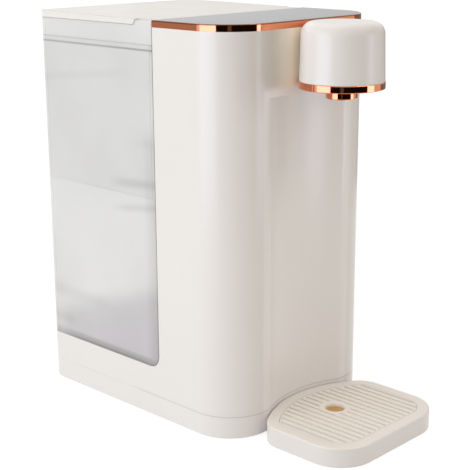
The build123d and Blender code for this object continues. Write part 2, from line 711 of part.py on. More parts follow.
def make_pump_head():
    """Pump chamber with an inlet on its axis and an outlet on its side."""
    x0, x1 = PUMP_X, PUMP_X + PUMP_HEAD_LENGTH
    side = PUMP_Y - PUMP_HEAD_RADIUS - NIPPLE_LENGTH
    head = rod_x(PUMP_Y, PUMP_Z, PUMP_HEAD_RADIUS, x0, x1)
    head += rod_x(PUMP_Y, PUMP_Z, NIPPLE_RADIUS, x1, x1 + NIPPLE_LENGTH)
    head += rod_y(PUMP_OUTLET_X, PUMP_Z, NIPPLE_RADIUS, side, PUMP_Y)
    wall = PUMP_HEAD_WALL
    head -= rod_x(PUMP_Y, PUMP_Z, PUMP_HEAD_RADIUS - wall, x0 + wall, x1 - wall)
    head -= rod_x(PUMP_Y, PUMP_Z, NIPPLE_BORE, x1 - PUMP_HEAD_WALL - 1, x1 + NIPPLE_LENGTH + 1)
    head -= rod_y(PUMP_OUTLET_X, PUMP_Z, NIPPLE_BORE, side - 1, PUMP_Y)
    return head - rod_x(PUMP_Y, PUMP_Z, SHAFT_RADIUS + RUNNING_FIT, x0 - 1, x0 + PUMP_HEAD_WALL + 1)


def make_pump_rotor():
    """Impeller with straight vanes on the motor's shaft."""
    x0 = PUMP_X + PUMP_HEAD_WALL + ROTOR_GAP
    x1 = PUMP_X + PUMP_HEAD_LENGTH - PUMP_HEAD_WALL - ROTOR_GAP
    reach = PUMP_HEAD_RADIUS - PUMP_HEAD_WALL - ROTOR_GAP
    rotor = rod_x(PUMP_Y, PUMP_Z, ROTOR_HUB, x0, x1)
    rotor += rod_x(PUMP_Y, PUMP_Z, reach, x0, x0 + 1.5)
    vane = Pos((x0 + x1) / 2, 0, reach / 2) * Box(x1 - x0, 1.4, reach - 0.6)
    for i in range(ROTOR_VANES):
        rotor += Pos(0, PUMP_Y, PUMP_Z) * Rot(i * 360 / ROTOR_VANES, 0, 0) * vane
    return rotor + rod_x(PUMP_Y, PUMP_Z, SHAFT_RADIUS, PUMP_X - 11.5, x0)


# Tank seat and flow sensor
def make_tank_seat():
    """Cup in the base that takes the tank's spigot, with the pin that opens the valve."""
    high = DECK_UNDER
    reach = SEAT_RADIUS + NIPPLE_LENGTH
    seat = rod_z(0, SEAT_Y, SEAT_RADIUS, SEAT_BOTTOM, DECK_Z)
    seat += rod_z(0, SEAT_Y, SEAT_RADIUS + SEAT_FLANGE, high - 2, high)
    seat += rod_x(SEAT_Y, FLOW_Z, NIPPLE_RADIUS, SEAT_BORE, reach)
    seat -= rod_z(0, SEAT_Y, SEAT_BORE - LEDGE, SEAT_BOTTOM + SEAT_FLOOR, DECK_Z + 1)
    seat -= rod_z(0, SEAT_Y, SEAT_BORE, SEAT_BOTTOM + 8, DECK_Z + 1)
    seat += rod_z(0, SEAT_Y, PIN_RADIUS, SEAT_BOTTOM + 1, PIN_TOP)
    return seat - rod_x(SEAT_Y, FLOW_Z, NIPPLE_BORE, SEAT_BORE - LEDGE - 1, reach + 1)


def make_seat_seal():
    low = SEAT_BOTTOM + 8
    return tube_z(0, SEAT_Y, SEAT_BORE, SPIGOT_RADIUS + RUNNING_FIT, low, low + 4)


def make_flow_sensor():
    """Small paddle-wheel meter with a nipple at each end."""
    x0, x1 = FLOW_X - FLOW_LENGTH / 2, FLOW_X + FLOW_LENGTH / 2
    body = rod_x(SEAT_Y, FLOW_Z, FLOW_RADIUS, x0, x1)
    body += rod_x(SEAT_Y, FLOW_Z, NIPPLE_RADIUS, x0 - NIPPLE_LENGTH + 2, x1 + NIPPLE_LENGTH - 2)
    front = SEAT_Y - FLOW_RADIUS
    body += block(FLOW_X - 6, FLOW_X + 6, front - 5, front + 2, FLOW_Z - 4, FLOW_Z + 4)
    body -= rod_x(SEAT_Y, FLOW_Z, NIPPLE_BORE, x0 - NIPPLE_LENGTH, x1 + NIPPLE_LENGTH)
    return body - rod_x(SEAT_Y, FLOW_Z, FLOW_RADIUS - FLOW_WALL, x0 + FLOW_WALL, x1 - FLOW_WALL)


def make_flow_turbine():
    """Screw-shaped wheel that the water turns."""
    reach = FLOW_RADIUS - FLOW_WALL - 0.4
    half = FLOW_LENGTH / 2 - FLOW_WALL - 0.3
    wheel = rod_x(SEAT_Y, FLOW_Z, 2, FLOW_X - half, FLOW_X + half)
    blade = Pos(0, 0, reach / 2) * Rot(0, 0, 25) * Box(half, 1.0, reach - 0.4)
    for i in range(4):
        wheel += Pos(FLOW_X, SEAT_Y, FLOW_Z) * Rot(i * 90, 0, 0) * blade
    return wheel


# Hoses
def make_inlet_hose():
    start = SEAT_RADIUS + NIPPLE_LENGTH - HOSE_OVERLAP
    end = FLOW_X - FLOW_LENGTH / 2 - NIPPLE_LENGTH + 2 + HOSE_OVERLAP
    return hose(0, (start, SEAT_Y, FLOW_Z), (end, SEAT_Y, FLOW_Z))


def make_suction_hose():
    start = FLOW_X + FLOW_LENGTH / 2 + NIPPLE_LENGTH - 2 - HOSE_OVERLAP
    end = PUMP_X + PUMP_HEAD_LENGTH + NIPPLE_LENGTH - HOSE_OVERLAP
    turn = HALF - WALL - FIT - LIP_WALL - HOSE_RADIUS - 0.6
    return hose(HOSE_BEND, (start, SEAT_Y, FLOW_Z), (turn, SEAT_Y, FLOW_Z),
                (turn, PUMP_Y, PUMP_Z), (end, PUMP_Y, PUMP_Z))


def make_pressure_hose():
    """Runs forward along the pan and up to the foot of the heater."""
    start = PUMP_Y - PUMP_HEAD_RADIUS - NIPPLE_LENGTH + HOSE_OVERLAP
    low = PAN_TOP + HOSE_RADIUS + 0.2
    end = HEATER_LOW - CAP_HEIGHT - NIPPLE_LENGTH + HOSE_OVERLAP
    x = PUMP_OUTLET_X
    return hose([11, 11, 16], (x, start, PUMP_Z), (x, start - 15, PUMP_Z), (x, start - 27, low),
                (x, HEATER_Y, low), (x, HEATER_Y, end))


def make_outlet_hose():
    """Rises from the heater and runs forward through the arm to the spout."""
    start = HEATER_TOP + CAP_HEIGHT + NIPPLE_LENGTH - HOSE_OVERLAP
    end = HEAD_Y + SPOUT_RADIUS + NIPPLE_LENGTH - HOSE_OVERLAP
    return hose([12, 12], (HEATER_X, HEATER_Y, start), (HEATER_X, HEATER_Y, PORT_Z),
                (0, Y_FRONT + 14, PORT_Z), (0, end, PORT_Z))


def make_hose_clips():
    """Spring band at each hose end."""
    ring = Cylinder(HOSE_RADIUS + CLIP_WALL, CLIP_WIDTH) - Cylinder(HOSE_RADIUS, CLIP_WIDTH + 1)
    ears = [Pos(x, HOSE_RADIUS + 2.5, 0) * Box(1, 4, CLIP_WIDTH) for x in (-1.5, 1.5)]
    clip = ring + ears
    along_x, along_y = Rot(0, 90, 0), Rot(90, 0, 0)
    back = HOSE_OVERLAP / 2
    flow_in = FLOW_X - FLOW_LENGTH / 2 - NIPPLE_LENGTH + 2 + back
    flow_out = FLOW_X + FLOW_LENGTH / 2 + NIPPLE_LENGTH - 2 - back
    places = [
        Pos(SEAT_RADIUS + NIPPLE_LENGTH - back, SEAT_Y, FLOW_Z) * along_x,
        Pos(flow_in, SEAT_Y, FLOW_Z) * along_x,
        Pos(flow_out, SEAT_Y, FLOW_Z) * along_x,
        Pos(PUMP_X + PUMP_HEAD_LENGTH + NIPPLE_LENGTH - back, PUMP_Y, PUMP_Z) * along_x,
        Pos(PUMP_OUTLET_X, PUMP_Y - PUMP_HEAD_RADIUS - NIPPLE_LENGTH + back, PUMP_Z) * along_y,
        Pos(PUMP_OUTLET_X, HEATER_Y, HEATER_LOW - CAP_HEIGHT - NIPPLE_LENGTH + back),
        Pos(HEATER_X, HEATER_Y, HEATER_TOP + CAP_HEIGHT + NIPPLE_LENGTH - back),
    ]
    return Compound([place * clip for place in places])


# Power board, level sensor and mains gland
def make_power_board():
    """Circuit board on the left wall with its relays, transformer and capacitors."""
    face = BOARD_X + BOARD_THICK
    board = block(BOARD_X, face, BOARD_Y, BOARD_Y + BOARD_WIDTH, BOARD_LOW, BOARD_LOW + BOARD_HEIGHT)
    for y0, y1, z0, z1, high in BOARD_BLOCKS:
        board += block(face, face + high, BOARD_Y + y0, BOARD_Y + y1, BOARD_LOW + z0, BOARD_LOW + z1)
    for z in CAN_HEIGHTS:
        board += rod_x(BOARD_Y + BOARD_WIDTH - CAN_INSET, BOARD_LOW + z, CAN_RADIUS, face, face + CAN_LENGTH)
    return board


def make_heat_sink():
    """Finned sink of the switching device on the power board."""
    x = BOARD_X + BOARD_THICK
    y0, z0 = BOARD_Y + SINK_INSET, BOARD_LOW + SINK_LIFT
    face = x + SINK_PLATE
    pitch = (SINK_WIDTH - FIN_THICK) / (FIN_COUNT - 1)
    sink = block(x, face, y0, y0 + SINK_WIDTH, z0, z0 + SINK_HEIGHT)
    for i in range(FIN_COUNT):
        y = y0 + i * pitch
        sink += block(face, face + FIN_REACH, y, y + FIN_THICK, z0, z0 + SINK_HEIGHT)
    return sink


def make_board_standoffs():
    x0 = -HALF + WALL
    posts = []
    for y in (BOARD_Y + STANDOFF_INSET, BOARD_Y + BOARD_WIDTH - STANDOFF_INSET):
        for z in (BOARD_LOW + STANDOFF_INSET, BOARD_LOW + BOARD_HEIGHT - STANDOFF_INSET):
            posts.append(rod_x(y, z, STANDOFF_RADIUS, x0, x0 + STANDOFF))
    return Compound(posts)


def make_reed_sensor():
    back = Y_TOWER - WALL
    low = FLOAT_LOW + 2
    sensor = block(FLOAT_X - 5, FLOAT_X + 5, back - 4, back, low, low + REED_HEIGHT)
    return sensor + block(FLOAT_X - 9, FLOAT_X + 9, back - 1.5, back, low + 5, low + 11)


def make_cord_gland():
    """Flush gland in the rear wall of the base, held by a nut inside."""
    gland = rod_y(GLAND_X, GLAND_Z, GLAND_RADIUS, Y_REAR - GLAND_FLANGE, Y_REAR)
    gland += rod_y(GLAND_X, GLAND_Z, GLAND_BARREL, Y_REAR - GLAND_LENGTH, Y_REAR - GLAND_FLANGE)
    nut = Plane.XZ.offset(-(Y_REAR - WALL)) * (Pos(GLAND_X, GLAND_Z) * RegularPolygon(GLAND_RADIUS + 0.5, 6))
    gland += extrude(nut, amount=4)
    return gland - rod_y(GLAND_X, GLAND_Z, GLAND_BORE, Y_REAR - GLAND_LENGTH - 1, Y_REAR + 1)


# Tank
def tank_side(inset, top):
    """Side outline of the tank: its front foot follows the haunch of the housing."""
    front, rear = TANK_FRONT + inset, Y_REAR - inset
    low = TANK_BOTTOM + (TANK_FLOOR if inset else 0)
    face = Pos((front + rear) / 2, (low + top) / 2) * Rectangle(rear - front, top - low)
    foot = face.vertices().group_by(Axis.Y)[0].sort_by(Axis.X)
    face = fillet(foot[0], HAUNCH_RADIUS - TANK_LIFT - inset)
    heel = face.vertices().group_by(Axis.Y)[0].sort_by(Axis.X)[-1]
    return fillet(heel, max(TANK_FOOT_RADIUS, 1) + (1 if inset else 0))


def tank_plan(inset):
    front, rear = TANK_FRONT + inset, Y_REAR - inset
    face = Pos(0, (front + rear) / 2) * Rectangle(BODY_WIDTH - 2 * inset, rear - front)
    return fillet(face.vertices().group_by(Axis.Y)[-1], REAR_CORNER - inset)


def rim_step(gap):
    """Side outline of everything above the tank's rim: a step with an S-shaped riser."""
    mid_y = (EAR_FRONT_TOP + EAR_REAR_FOOT) / 2 + gap
    y0, y1 = EAR_FRONT_TOP + gap, EAR_REAR_FOOT + gap
    low, high = RIM_Z + gap, EAR_TOP + gap
    mid_z = (low + high) / 2
    riser = Spline([(y0, high), (mid_y, mid_z), (y1, low)], tangents=[(1, 0), (1, 0)])
    far, above = Y_REAR + 20, PANEL_TOP + 40
    return make_face(riser + Polyline((y1, low), (far, low), (far, above), (y0, above), (y0, high)))


def make_tank_shell():
    """Open tank with two hinge ears at the front of its rim."""
    tank = across(tank_side(0, EAR_TOP), -HALF, HALF) & prism(tank_plan(0), 0, PANEL_TOP)
    tank -= across(rim_step(0), -HALF - 1, HALF + 1)
    hollow = across(tank_side(TANK_WALL, EAR_TOP + 5), -TANK_INNER_HALF, TANK_INNER_HALF)
    tank -= hollow & prism(tank_plan(TANK_WALL), 0, PANEL_TOP + 9)
    front_cut = HINGE_Z - FRONT_WALL_DROP
    half = TANK_INNER_HALF
    tank -= block(-half, half, TANK_FRONT - 1, TANK_FRONT + TANK_WALL + 1, front_cut, PANEL_TOP)
    pin_end = TANK_INNER_HALF - LID_GAP + HINGE_PIN_LENGTH + 0.1
    tank -= rod_x(HINGE_Y, HINGE_Z, HINGE_PIN + RUNNING_FIT, -pin_end, pin_end)
    for side in (-1, 1):
        edge = sorted((side * TANK_INNER_HALF, side * (TANK_INNER_HALF - LEVEL_RIB)))
        tank += block(*edge, TANK_FRONT + TANK_WALL, Y_REAR - 20, LEVEL_LINE_Z - 0.6, LEVEL_LINE_Z + 0.6)
    return tank - rod_z(0, SEAT_Y, SPIGOT_RADIUS + 0.05, TANK_BOTTOM - 1, TANK_INSIDE + 1)


def make_valve_housing():
    """Spigot with a valve seat inside, a flange on the tank floor and an open cage above."""
    low = TANK_BOTTOM - SPIGOT_DROP
    bore = SPIGOT_RADIUS - SPIGOT_WALL
    top = TANK_INSIDE + 2 + CAGE_HEIGHT
    lip_top = PIN_TOP + 1.8
    body = rod_z(0, SEAT_Y, SPIGOT_RADIUS, low, top)
    body += rod_z(0, SEAT_Y, SPIGOT_RADIUS + 4, TANK_INSIDE, TANK_INSIDE + 2)
    body -= rod_z(0, SEAT_Y, bore, lip_top, top - 2)
    body -= rod_z(0, SEAT_Y, bore, low - 1, lip_top - 2)
    body -= rod_z(0, SEAT_Y, 6.5, low - 1, top - 2)
    body -= rod_z(0, SEAT_Y, STEM_RADIUS + RUNNING_FIT, low, top + 1)
    window = block(-4, 4, -SPIGOT_RADIUS - 5, SPIGOT_RADIUS + 5, TANK_INSIDE + 3, top - 4)
    for turn in (0, 90):
        body -= Pos(0, SEAT_Y, 0) * Rot(0, 0, turn) * window
    return body


def make_outlet_strainer():
    """Slotted cap over the valve cage."""
    low, high = TANK_INSIDE + 2, TANK_INSIDE + 5 + CAGE_HEIGHT
    outer = SPIGOT_RADIUS + 2
    cap = rod_z(0, SEAT_Y, outer, low, high) - rod_z(0, SEAT_Y, outer - 1, low - 1, high - 1)
    slot = block(-0.9, 0.9, -outer - 1, outer + 1, low + 2.5, high - 3)
    for i in range(6):
        cap -= Pos(0, SEAT_Y, 0) * Rot(0, 0, i * 30 + 15) * slot
    return cap


def make_valve_plunger():
    bottom = PIN_TOP + 0.2
    lip_top = PIN_TOP + 1.8
    disc = lip_top + VALVE_TRAVEL + 1.4
    plunger = rod_z(0, SEAT_Y, STEM_RADIUS, bottom, TANK_INSIDE + 3 + CAGE_HEIGHT)
    return plunger + rod_z(0, SEAT_Y, DISC_RADIUS, disc, disc + 2)


def make_valve_seal():
    disc = PIN_TOP + 1.8 + VALVE_TRAVEL + 1.4
    return tube_z(0, SEAT_Y, DISC_RADIUS, STEM_RADIUS, disc - 1.2, disc)


def make_valve_spring():
    """Conical-ended return spring between the disc and the cage top, drawn as plain coils."""
    low = PIN_TOP + 1.8 + VALVE_TRAVEL + 3.4
    high = TANK_INSIDE + CAGE_HEIGHT
    wire = 0.5
    coil = Helix(pitch=(high - low - 2 * wire) / 4, height=high - low - 2 * wire, radius=6)
    section = Plane(coil @ 0, z_dir=coil % 0) * Circle(wire)
    return Pos(0, SEAT_Y, low + wire) * sweep(section, coil)


def make_float_post():
    low = TANK_INSIDE
    stop = FLOAT_LOW + FLOAT_HEIGHT + FLOAT_TRAVEL + 0.5
    post = rod_z(FLOAT_X, FLOAT_Y, 6, low, low + 2) + rod_z(FLOAT_X, FLOAT_Y, POST_RADIUS, low + 2, stop)
    return post + rod_z(FLOAT_X, FLOAT_Y, 4.5, stop, stop + 2)


def make_level_float():
    high = FLOAT_LOW + FLOAT_HEIGHT
    body = tube_z(FLOAT_X, FLOAT_Y, FLOAT_RADIUS, POST_RADIUS + 0.3, FLOAT_LOW, high)
    body -= tube_z(FLOAT_X, FLOAT_Y, 7, 4, high - 3, high + 1)
    return chamfer(body.edges().group_by(Axis.Z)[0].sort_by(SortBy.LENGTH)[-1], 1)


def make_float_magnet():
    high = FLOAT_LOW + FLOAT_HEIGHT
    return tube_z(FLOAT_X, FLOAT_Y, 7, 4, high - 3, high)


# Lid
def lid_side():
    """Side outline of the lid plate, rising a little towards the rear."""
    front = HINGE_Y
    high = HINGE_Z + BARREL_RADIUS
    rear = [(LID_REAR, high + LID_RISE), (LID_REAR, LID_BOTTOM)]
    return make_face(Polyline((front, high), *rear, (front, LID_BOTTOM), close=True))


def plug_plan(inset):
    """Outline of the collar that reaches into the tank."""
    half = TANK_INNER_HALF - PLUG_GAP - inset
    front = TANK_FRONT + TANK_WALL + PLUG_GAP + 0.6 + inset
    rear = Y_REAR - TANK_WALL - PLUG_REAR_GAP - inset
    face = Pos(0, (front + rear) / 2) * Rectangle(2 * half, rear - front)
    return fillet(face.vertices(), 5 - inset if inset < 4 else 1)


def make_tank_lid():
    """Plate with a round hinge nose in front and a collar that hangs into the tank."""
    plan = Pos(0, (HINGE_Y + LID_REAR) / 2) * Rectangle(BODY_WIDTH + 2 * LID_OVERHANG, LID_REAR - HINGE_Y)
    plan = fillet(plan.vertices().group_by(Axis.Y)[-1], REAR_CORNER + LID_OVERHANG)
    plate = across(lid_side(), -HALF - 1, HALF + 1) & prism(plan, 0, PANEL_TOP + 20)
    narrow = TANK_INNER_HALF - LID_GAP
    wings = across(rim_step(LID_GAP), -HALF - 2, HALF + 2)
    middle = block(-narrow, narrow, HINGE_Y - 9, LID_REAR + 1, 0, PANEL_TOP + 20)
    plate = plate & (wings + middle)
    plate -= prism(plug_plan(PLUG_WALL), LID_BOTTOM - 1, HINGE_Z + BARREL_RADIUS - LID_PLATE)
    lid = plate + rod_x(HINGE_Y, HINGE_Z, BARREL_RADIUS, -narrow, narrow)
    collar = prism(plug_plan(0), PLUG_BOTTOM, LID_BOTTOM + 0.5) - prism(plug_plan(PLUG_WALL), 0, PANEL_TOP)
    lid += collar
    pin_end = narrow + HINGE_PIN_LENGTH
    return lid + rod_x(HINGE_Y, HINGE_Z, HINGE_PIN, -pin_end, pin_end)


def make_lid_gasket():
    ring = prism(plug_plan(-GASKET_THICK), PLUG_BOTTOM, PLUG_BOTTOM + GASKET_HEIGHT)
    return ring - prism(plug_plan(0), 0, PANEL_TOP)


# Drip tray
def tray_plan(inset):
    """Outline of the tray: round front corners, and a back edge that follows the cup recess."""
    half = RECESS_HALF + TRAY_WING - inset
    front = TRAY_FRONT + inset
    face = Pos(0, front + BODY_DEPTH / 2) * Rectangle(2 * half, BODY_DEPTH)
    behind = Pos(0, RECESS_Y + BODY_DEPTH) * Rectangle(4 * half, 2 * BODY_DEPTH)
    face -= behind - Pos(0, RECESS_Y) * Circle(TRAY_ARC - inset)
    face = fillet(face.vertices().group_by(Axis.Y)[0], TRAY_FRONT_CORNER - inset)
    return fillet(face.vertices().group_by(Axis.Y)[-1], max(TRAY_REAR_CORNER - inset, 1))


def make_tray_basin():
    """Tray with an outer skirt, a flat rim and a sunk basin under the grille."""
    ledge_z = TRAY_HEIGHT - GRILLE_THICK
    tray = prism(tray_plan(0), 0, TRAY_HEIGHT)
    tray = fillet(tray.edges().group_by(Axis.Z)[-1], TRAY_EDGE)
    tray = fillet(tray.edges().group_by(Axis.Z)[0], TRAY_FOOT_EDGE)
    tray -= prism(tray_plan(GRILLE_INSET), ledge_z, TRAY_HEIGHT + 1)
    tray -= prism(tray_plan(GRILLE_INSET + LEDGE), TRAY_FLOOR, TRAY_HEIGHT)
    core = prism(tray_plan(GRILLE_INSET - LEDGE), -2, TRAY_HEIGHT)
    tray -= prism(tray_plan(TRAY_WALL), -1, ledge_z) - core
    return tray - prism(tray_plan(GRILLE_INSET), -1, 1.2)


def make_tray_grille():
    """Flat grille with slots from front to back that end along the tray's outline, and a finger hole."""
    grille = prism(tray_plan(GRILLE_INSET + GRILLE_GAP), TRAY_HEIGHT - GRILLE_THICK, TRAY_HEIGHT)
    zone = tray_plan(GRILLE_INSET + SLOT_MARGIN)
    zone -= Pos(0, HEAD_Y) * Circle(HOLE_RADIUS + HOLE_RING)
    start = -(SLOT_COUNT - 1) / 2 * SLOT_PITCH
    lanes = [Pos(start + i * SLOT_PITCH, Y_FRONT) * Rectangle(SLOT_WIDTH, 300) for i in range(SLOT_COUNT)]
    slots = zone & (lanes[0] + lanes[1:])
    grille -= prism(slots, 0, TRAY_HEIGHT + 1)
    grille -= rod_z(0, HEAD_Y, HOLE_RADIUS, 0, TRAY_HEIGHT + 1)
    rim = grille.edges().filter_by(GeomType.CIRCLE).group_by(Axis.Z)[-1]
    return fillet([e for e in rim if abs(e.radius - HOLE_RADIUS) < 0.01], HOLE_EDGE)


NODES = {
    "tower_shell": make_tower_shell,
    "base_deck": make_base_deck,
    "base_pan": make_base_pan,
    "foot_pads": make_foot_pads,
    "base_screws": make_base_screws,
    "top_deck": make_top_deck,
    "trim_band": make_trim_band,
    "touch_panel": make_touch_panel,
    "touch_board": make_touch_board,
    "touch_pads": make_touch_pads,
    "tap_head_shell": make_head_shell,
    "tap_head_ring": make_head_ring,
    "tap_head_plate": make_head_plate,
    "tap_head_bracket": make_head_bracket,
    "nozzle_collar": make_nozzle_collar,
    "outlet_spout": make_spout,
    "heater_tube": make_heater_tube,
    "heater_caps": make_heater_caps,
    "heater_bracket": make_heater_bracket,
    "thermal_cutouts": make_thermal_cutouts,
    "pump_motor": make_pump_motor,
    "pump_motor_rings": make_motor_rings,
    "pump_head": make_pump_head,
    "pump_rotor": make_pump_rotor,
    "tank_seat": make_tank_seat,
    "tank_seat_seal": make_seat_seal,
    "flow_sensor": make_flow_sensor,
    "flow_turbine": make_flow_turbine,
    "inlet_hose": make_inlet_hose,
    "suction_hose": make_suction_hose,
    "pressure_hose": make_pressure_hose,
    "outlet_hose": make_outlet_hose,
    "hose_clips": make_hose_clips,
    "power_board": make_power_board,
    "power_heat_sink": make_heat_sink,
    "board_standoffs": make_board_standoffs,
    "level_reed_sensor": make_reed_sensor,
    "cord_gland": make_cord_gland,
    "tank_shell": make_tank_shell,
    "valve_housing": make_valve_housing,
    "outlet_strainer": make_outlet_strainer,
    "valve_plunger": make_valve_plunger,
    "valve_seal": make_valve_seal,
    "valve_spring": make_valve_spring,
    "float_post": make_float_post,
    "level_float": make_level_float,
    "float_magnet": make_float_magnet,
    "tank_lid": make_tank_lid,
    "lid_gasket": make_lid_gasket,
    "tray_basin": make_tray_basin,
    "tray_grille": make_tray_grille,
}

os.makedirs("parts", exist_ok=True)
for name, make in NODES.items():
    export_step(make(), f"parts/{name}.step")
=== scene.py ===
"""Finishes, small details and studio for a countertop hot water dispenser.

The file is laid out as a Blender add-on and run as a script. All lengths are metres, in the frame of the
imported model: +Z up, -Y to the front where the cup stands.
"""

import math

import bmesh
import bpy
from bpy.props import FloatProperty, FloatVectorProperty, IntProperty, PointerProperty
from mathutils import Matrix, Vector


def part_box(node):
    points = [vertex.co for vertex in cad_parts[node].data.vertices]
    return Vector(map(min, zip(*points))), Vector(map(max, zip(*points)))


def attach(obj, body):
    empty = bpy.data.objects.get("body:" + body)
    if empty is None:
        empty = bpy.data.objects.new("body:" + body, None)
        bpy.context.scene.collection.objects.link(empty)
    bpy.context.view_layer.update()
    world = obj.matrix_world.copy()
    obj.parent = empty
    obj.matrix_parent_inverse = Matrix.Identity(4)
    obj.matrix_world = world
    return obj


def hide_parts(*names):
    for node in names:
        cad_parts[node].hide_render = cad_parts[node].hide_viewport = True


bl_info = {
    "name": "Countertop Hot Water Dispenser",
    "version": (1, 0, 0),
    "blender": (4, 5, 0),
    "location": "3D View > Sidebar > Dispenser",
    "description": "Finishes, small details and studio of a countertop hot water dispenser",
    "category": "Object",
}

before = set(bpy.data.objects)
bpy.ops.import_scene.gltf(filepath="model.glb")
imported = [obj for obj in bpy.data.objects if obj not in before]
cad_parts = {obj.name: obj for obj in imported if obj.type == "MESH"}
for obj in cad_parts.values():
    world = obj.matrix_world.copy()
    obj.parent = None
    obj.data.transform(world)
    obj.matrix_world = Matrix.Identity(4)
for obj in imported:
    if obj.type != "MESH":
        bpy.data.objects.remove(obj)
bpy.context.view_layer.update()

# The camera that the photograph was taken with
CAMERA_PLACE = Vector((-0.62653, -0.5837, 0.36606))
CAMERA_AZIMUTH = math.radians(-46.311)
CAMERA_HEIGHT = math.radians(15.289)
CAMERA_ROLL = math.radians(-0.224)
CAMERA_LENS = 87.90
CAMERA_SENSOR = 36.0


# Settings

class DispenserFinishes(bpy.types.PropertyGroup):
    """Colours and gloss of the visible finishes."""
    white: FloatVectorProperty(name="Moulded white", description="Colour of the body, head and lid",
                               subtype="COLOR", size=3, min=0, max=1, default=(0.825, 0.800, 0.785))
    tray: FloatVectorProperty(name="Tray white", description="Colour of the drip tray", subtype="COLOR", size=3,
                              min=0, max=1, default=(0.785, 0.755, 0.737))
    grille: FloatVectorProperty(name="Grille white", description="Colour of the slotted grille",
                                subtype="COLOR", size=3, min=0, max=1, default=(0.90, 0.86, 0.805))
    # Painted shade: the deeper, warmer tone of the basin floor under the grille
    basin_shade: FloatVectorProperty(name="Basin floor", description="Warmer tint of the basin below the grille",
                                     subtype="COLOR", size=3, min=0, max=1, default=(0.88, 0.77, 0.62))
    # Painted glow: emission of the basin floor in place of light through the thin tray
    painted_basin_glow: FloatVectorProperty(name="Basin glow", subtype="COLOR", size=3, min=0, max=1,
                                    description="Light that comes through the thin tray to its basin",
                                    default=(0.16, 0.088, 0.025))
    copper: FloatVectorProperty(name="Copper", description="Colour of the plated bands",
                                subtype="COLOR", size=3, min=0, max=1, default=(0.80, 0.255, 0.108))
    glass: FloatVectorProperty(name="Glass top", description="Colour of the mirror-gloss glass top",
                               subtype="COLOR", size=3, min=0, max=1, default=(0.018, 0.018, 0.019))
    tank: FloatVectorProperty(name="Tank", description="Tint of the frosted tank",
                              subtype="COLOR", size=3, min=0, max=1, default=(0.98, 0.98, 0.98))
    white_gloss: FloatProperty(name="White roughness", description="Roughness of the moulded white plastic",
                               subtype="FACTOR", min=0, max=1, default=0.22)
    white_shine: FloatProperty(name="White shine", description="Strength of the mirror image on the white plastic",
                               subtype="FACTOR", min=0, max=1, default=0.28)
    level_mark: FloatProperty(name="Level mark", description="Height of the level mark on the tank", unit="LENGTH",
                              min=0, default=0.171)


class DispenserFittings(bpy.types.PropertyGroup):
    """Sizes of the small fittings."""
    screw_head: FloatProperty(name="Screw head", description="Radius of a base screw's head", unit="LENGTH",
                              min=0, default=0.0032)
    screw_shank: FloatProperty(name="Screw shank", description="Radius of a base screw's shank", unit="LENGTH",
                               min=0, default=0.0015)
    foot_radius: FloatProperty(name="Foot radius", description="Radius of a rubber foot", unit="LENGTH", min=0,
                               default=0.008)
    foot_grooves: IntProperty(name="Foot grooves", description="Rings cut into the underside of a foot", min=1,
                              default=3)
    bead: FloatProperty(name="Level bead", description="Radius of the bead that marks the level", unit="LENGTH",
                        min=0, default=0.0003)


class DispenserStage(bpy.types.PropertyGroup):
    """Strength of the studio lamps and size of the floor."""
    key_power: FloatProperty(name="Side lamp", description="Power of the large lamp on the tank's side",
                             unit="POWER", min=0, default=12.4)
    key_colour: FloatVectorProperty(name="Side lamp colour", description="Colour of the side lamp", subtype="COLOR",
                                    size=3, min=0, max=1, default=(0.88, 0.94, 1.0))
    fill_power: FloatProperty(name="Front lamp", description="Power of the lamp at the front right", unit="POWER",
                              min=0, default=4.8)
    fill_colour: FloatVectorProperty(name="Front lamp colour", description="Colour of the front lamp",
                                     subtype="COLOR", size=3, min=0, max=1, default=(1.0, 0.94, 0.86))
    sky: FloatProperty(name="Room light", description="Strength of the even light of the room", min=0, default=0.69)
    sky_colour: FloatVectorProperty(name="Room colour", description="Colour of the even light of the room",
                                    subtype="COLOR", size=3, min=0, max=1, default=(1.0, 0.945, 0.875))
    floor_reach: FloatProperty(name="Floor reach", description="Half the width of the floor", unit="LENGTH", min=1,
                               default=6.0)


# Helpers for shaders

def set_input(node, name, value):
    node.inputs[name].default_value = value


def shader_of(material):
    return material.node_tree.nodes["Principled BSDF"]


def new_material(name):
    material = bpy.data.materials.new(name)
    material.use_nodes = True
    return material, material.node_tree, shader_of(material)


def link(tree, source, source_name, target, target_name):
    tree.links.new(source.outputs[source_name], target.inputs[target_name])


def feed(tree, socket, value):
    """Gives a socket a plain value or the output of another node."""
    if isinstance(value, bpy.types.NodeSocket):
        tree.links.new(value, socket)
    else:
        socket.default_value = value


def maths(tree, operation, *values):
    node = tree.nodes.new("ShaderNodeMath")
    node.operation = operation
    for socket, value in zip(node.inputs, values):
        feed(tree, socket, value)
    return node.outputs[0]


def product(tree, first, *others):
    """All the factors multiplied."""
    for other in others:
        first = maths(tree, "MULTIPLY", first, other)
    return first


def rest_of(tree, share):
    """What a share leaves of 1."""
    return maths(tree, "SUBTRACT", 1.0, share)


def ramp(tree, value, low, high, start=0.0, stop=1.0):
    """Goes smoothly from start to stop while the value goes from low to high."""
    node = tree.nodes.new("ShaderNodeMapRange")
    node.interpolation_type = "SMOOTHSTEP"
    feed(tree, node.inputs["Value"], value)
    for name, number in (("From Min", low), ("From Max", high), ("To Min", start), ("To Max", stop)):
        set_input(node, name, number)
    return node.outputs["Result"]


def blend_colour(tree, factor, first, second):
    node = tree.nodes.new("ShaderNodeMix")
    node.data_type = "RGBA"
    feed(tree, node.inputs["Factor"], factor)
    feed(tree, node.inputs[6], first)
    feed(tree, node.inputs[7], second)
    return node.outputs[2]


def dim(tree, colour, factor):
    """A colour made darker or lighter by a factor."""
    node = tree.nodes.new("ShaderNodeVectorMath")
    node.operation = "SCALE"
    feed(tree, node.inputs[0], colour)
    feed(tree, node.inputs["Scale"], factor)
    return node.outputs[0]


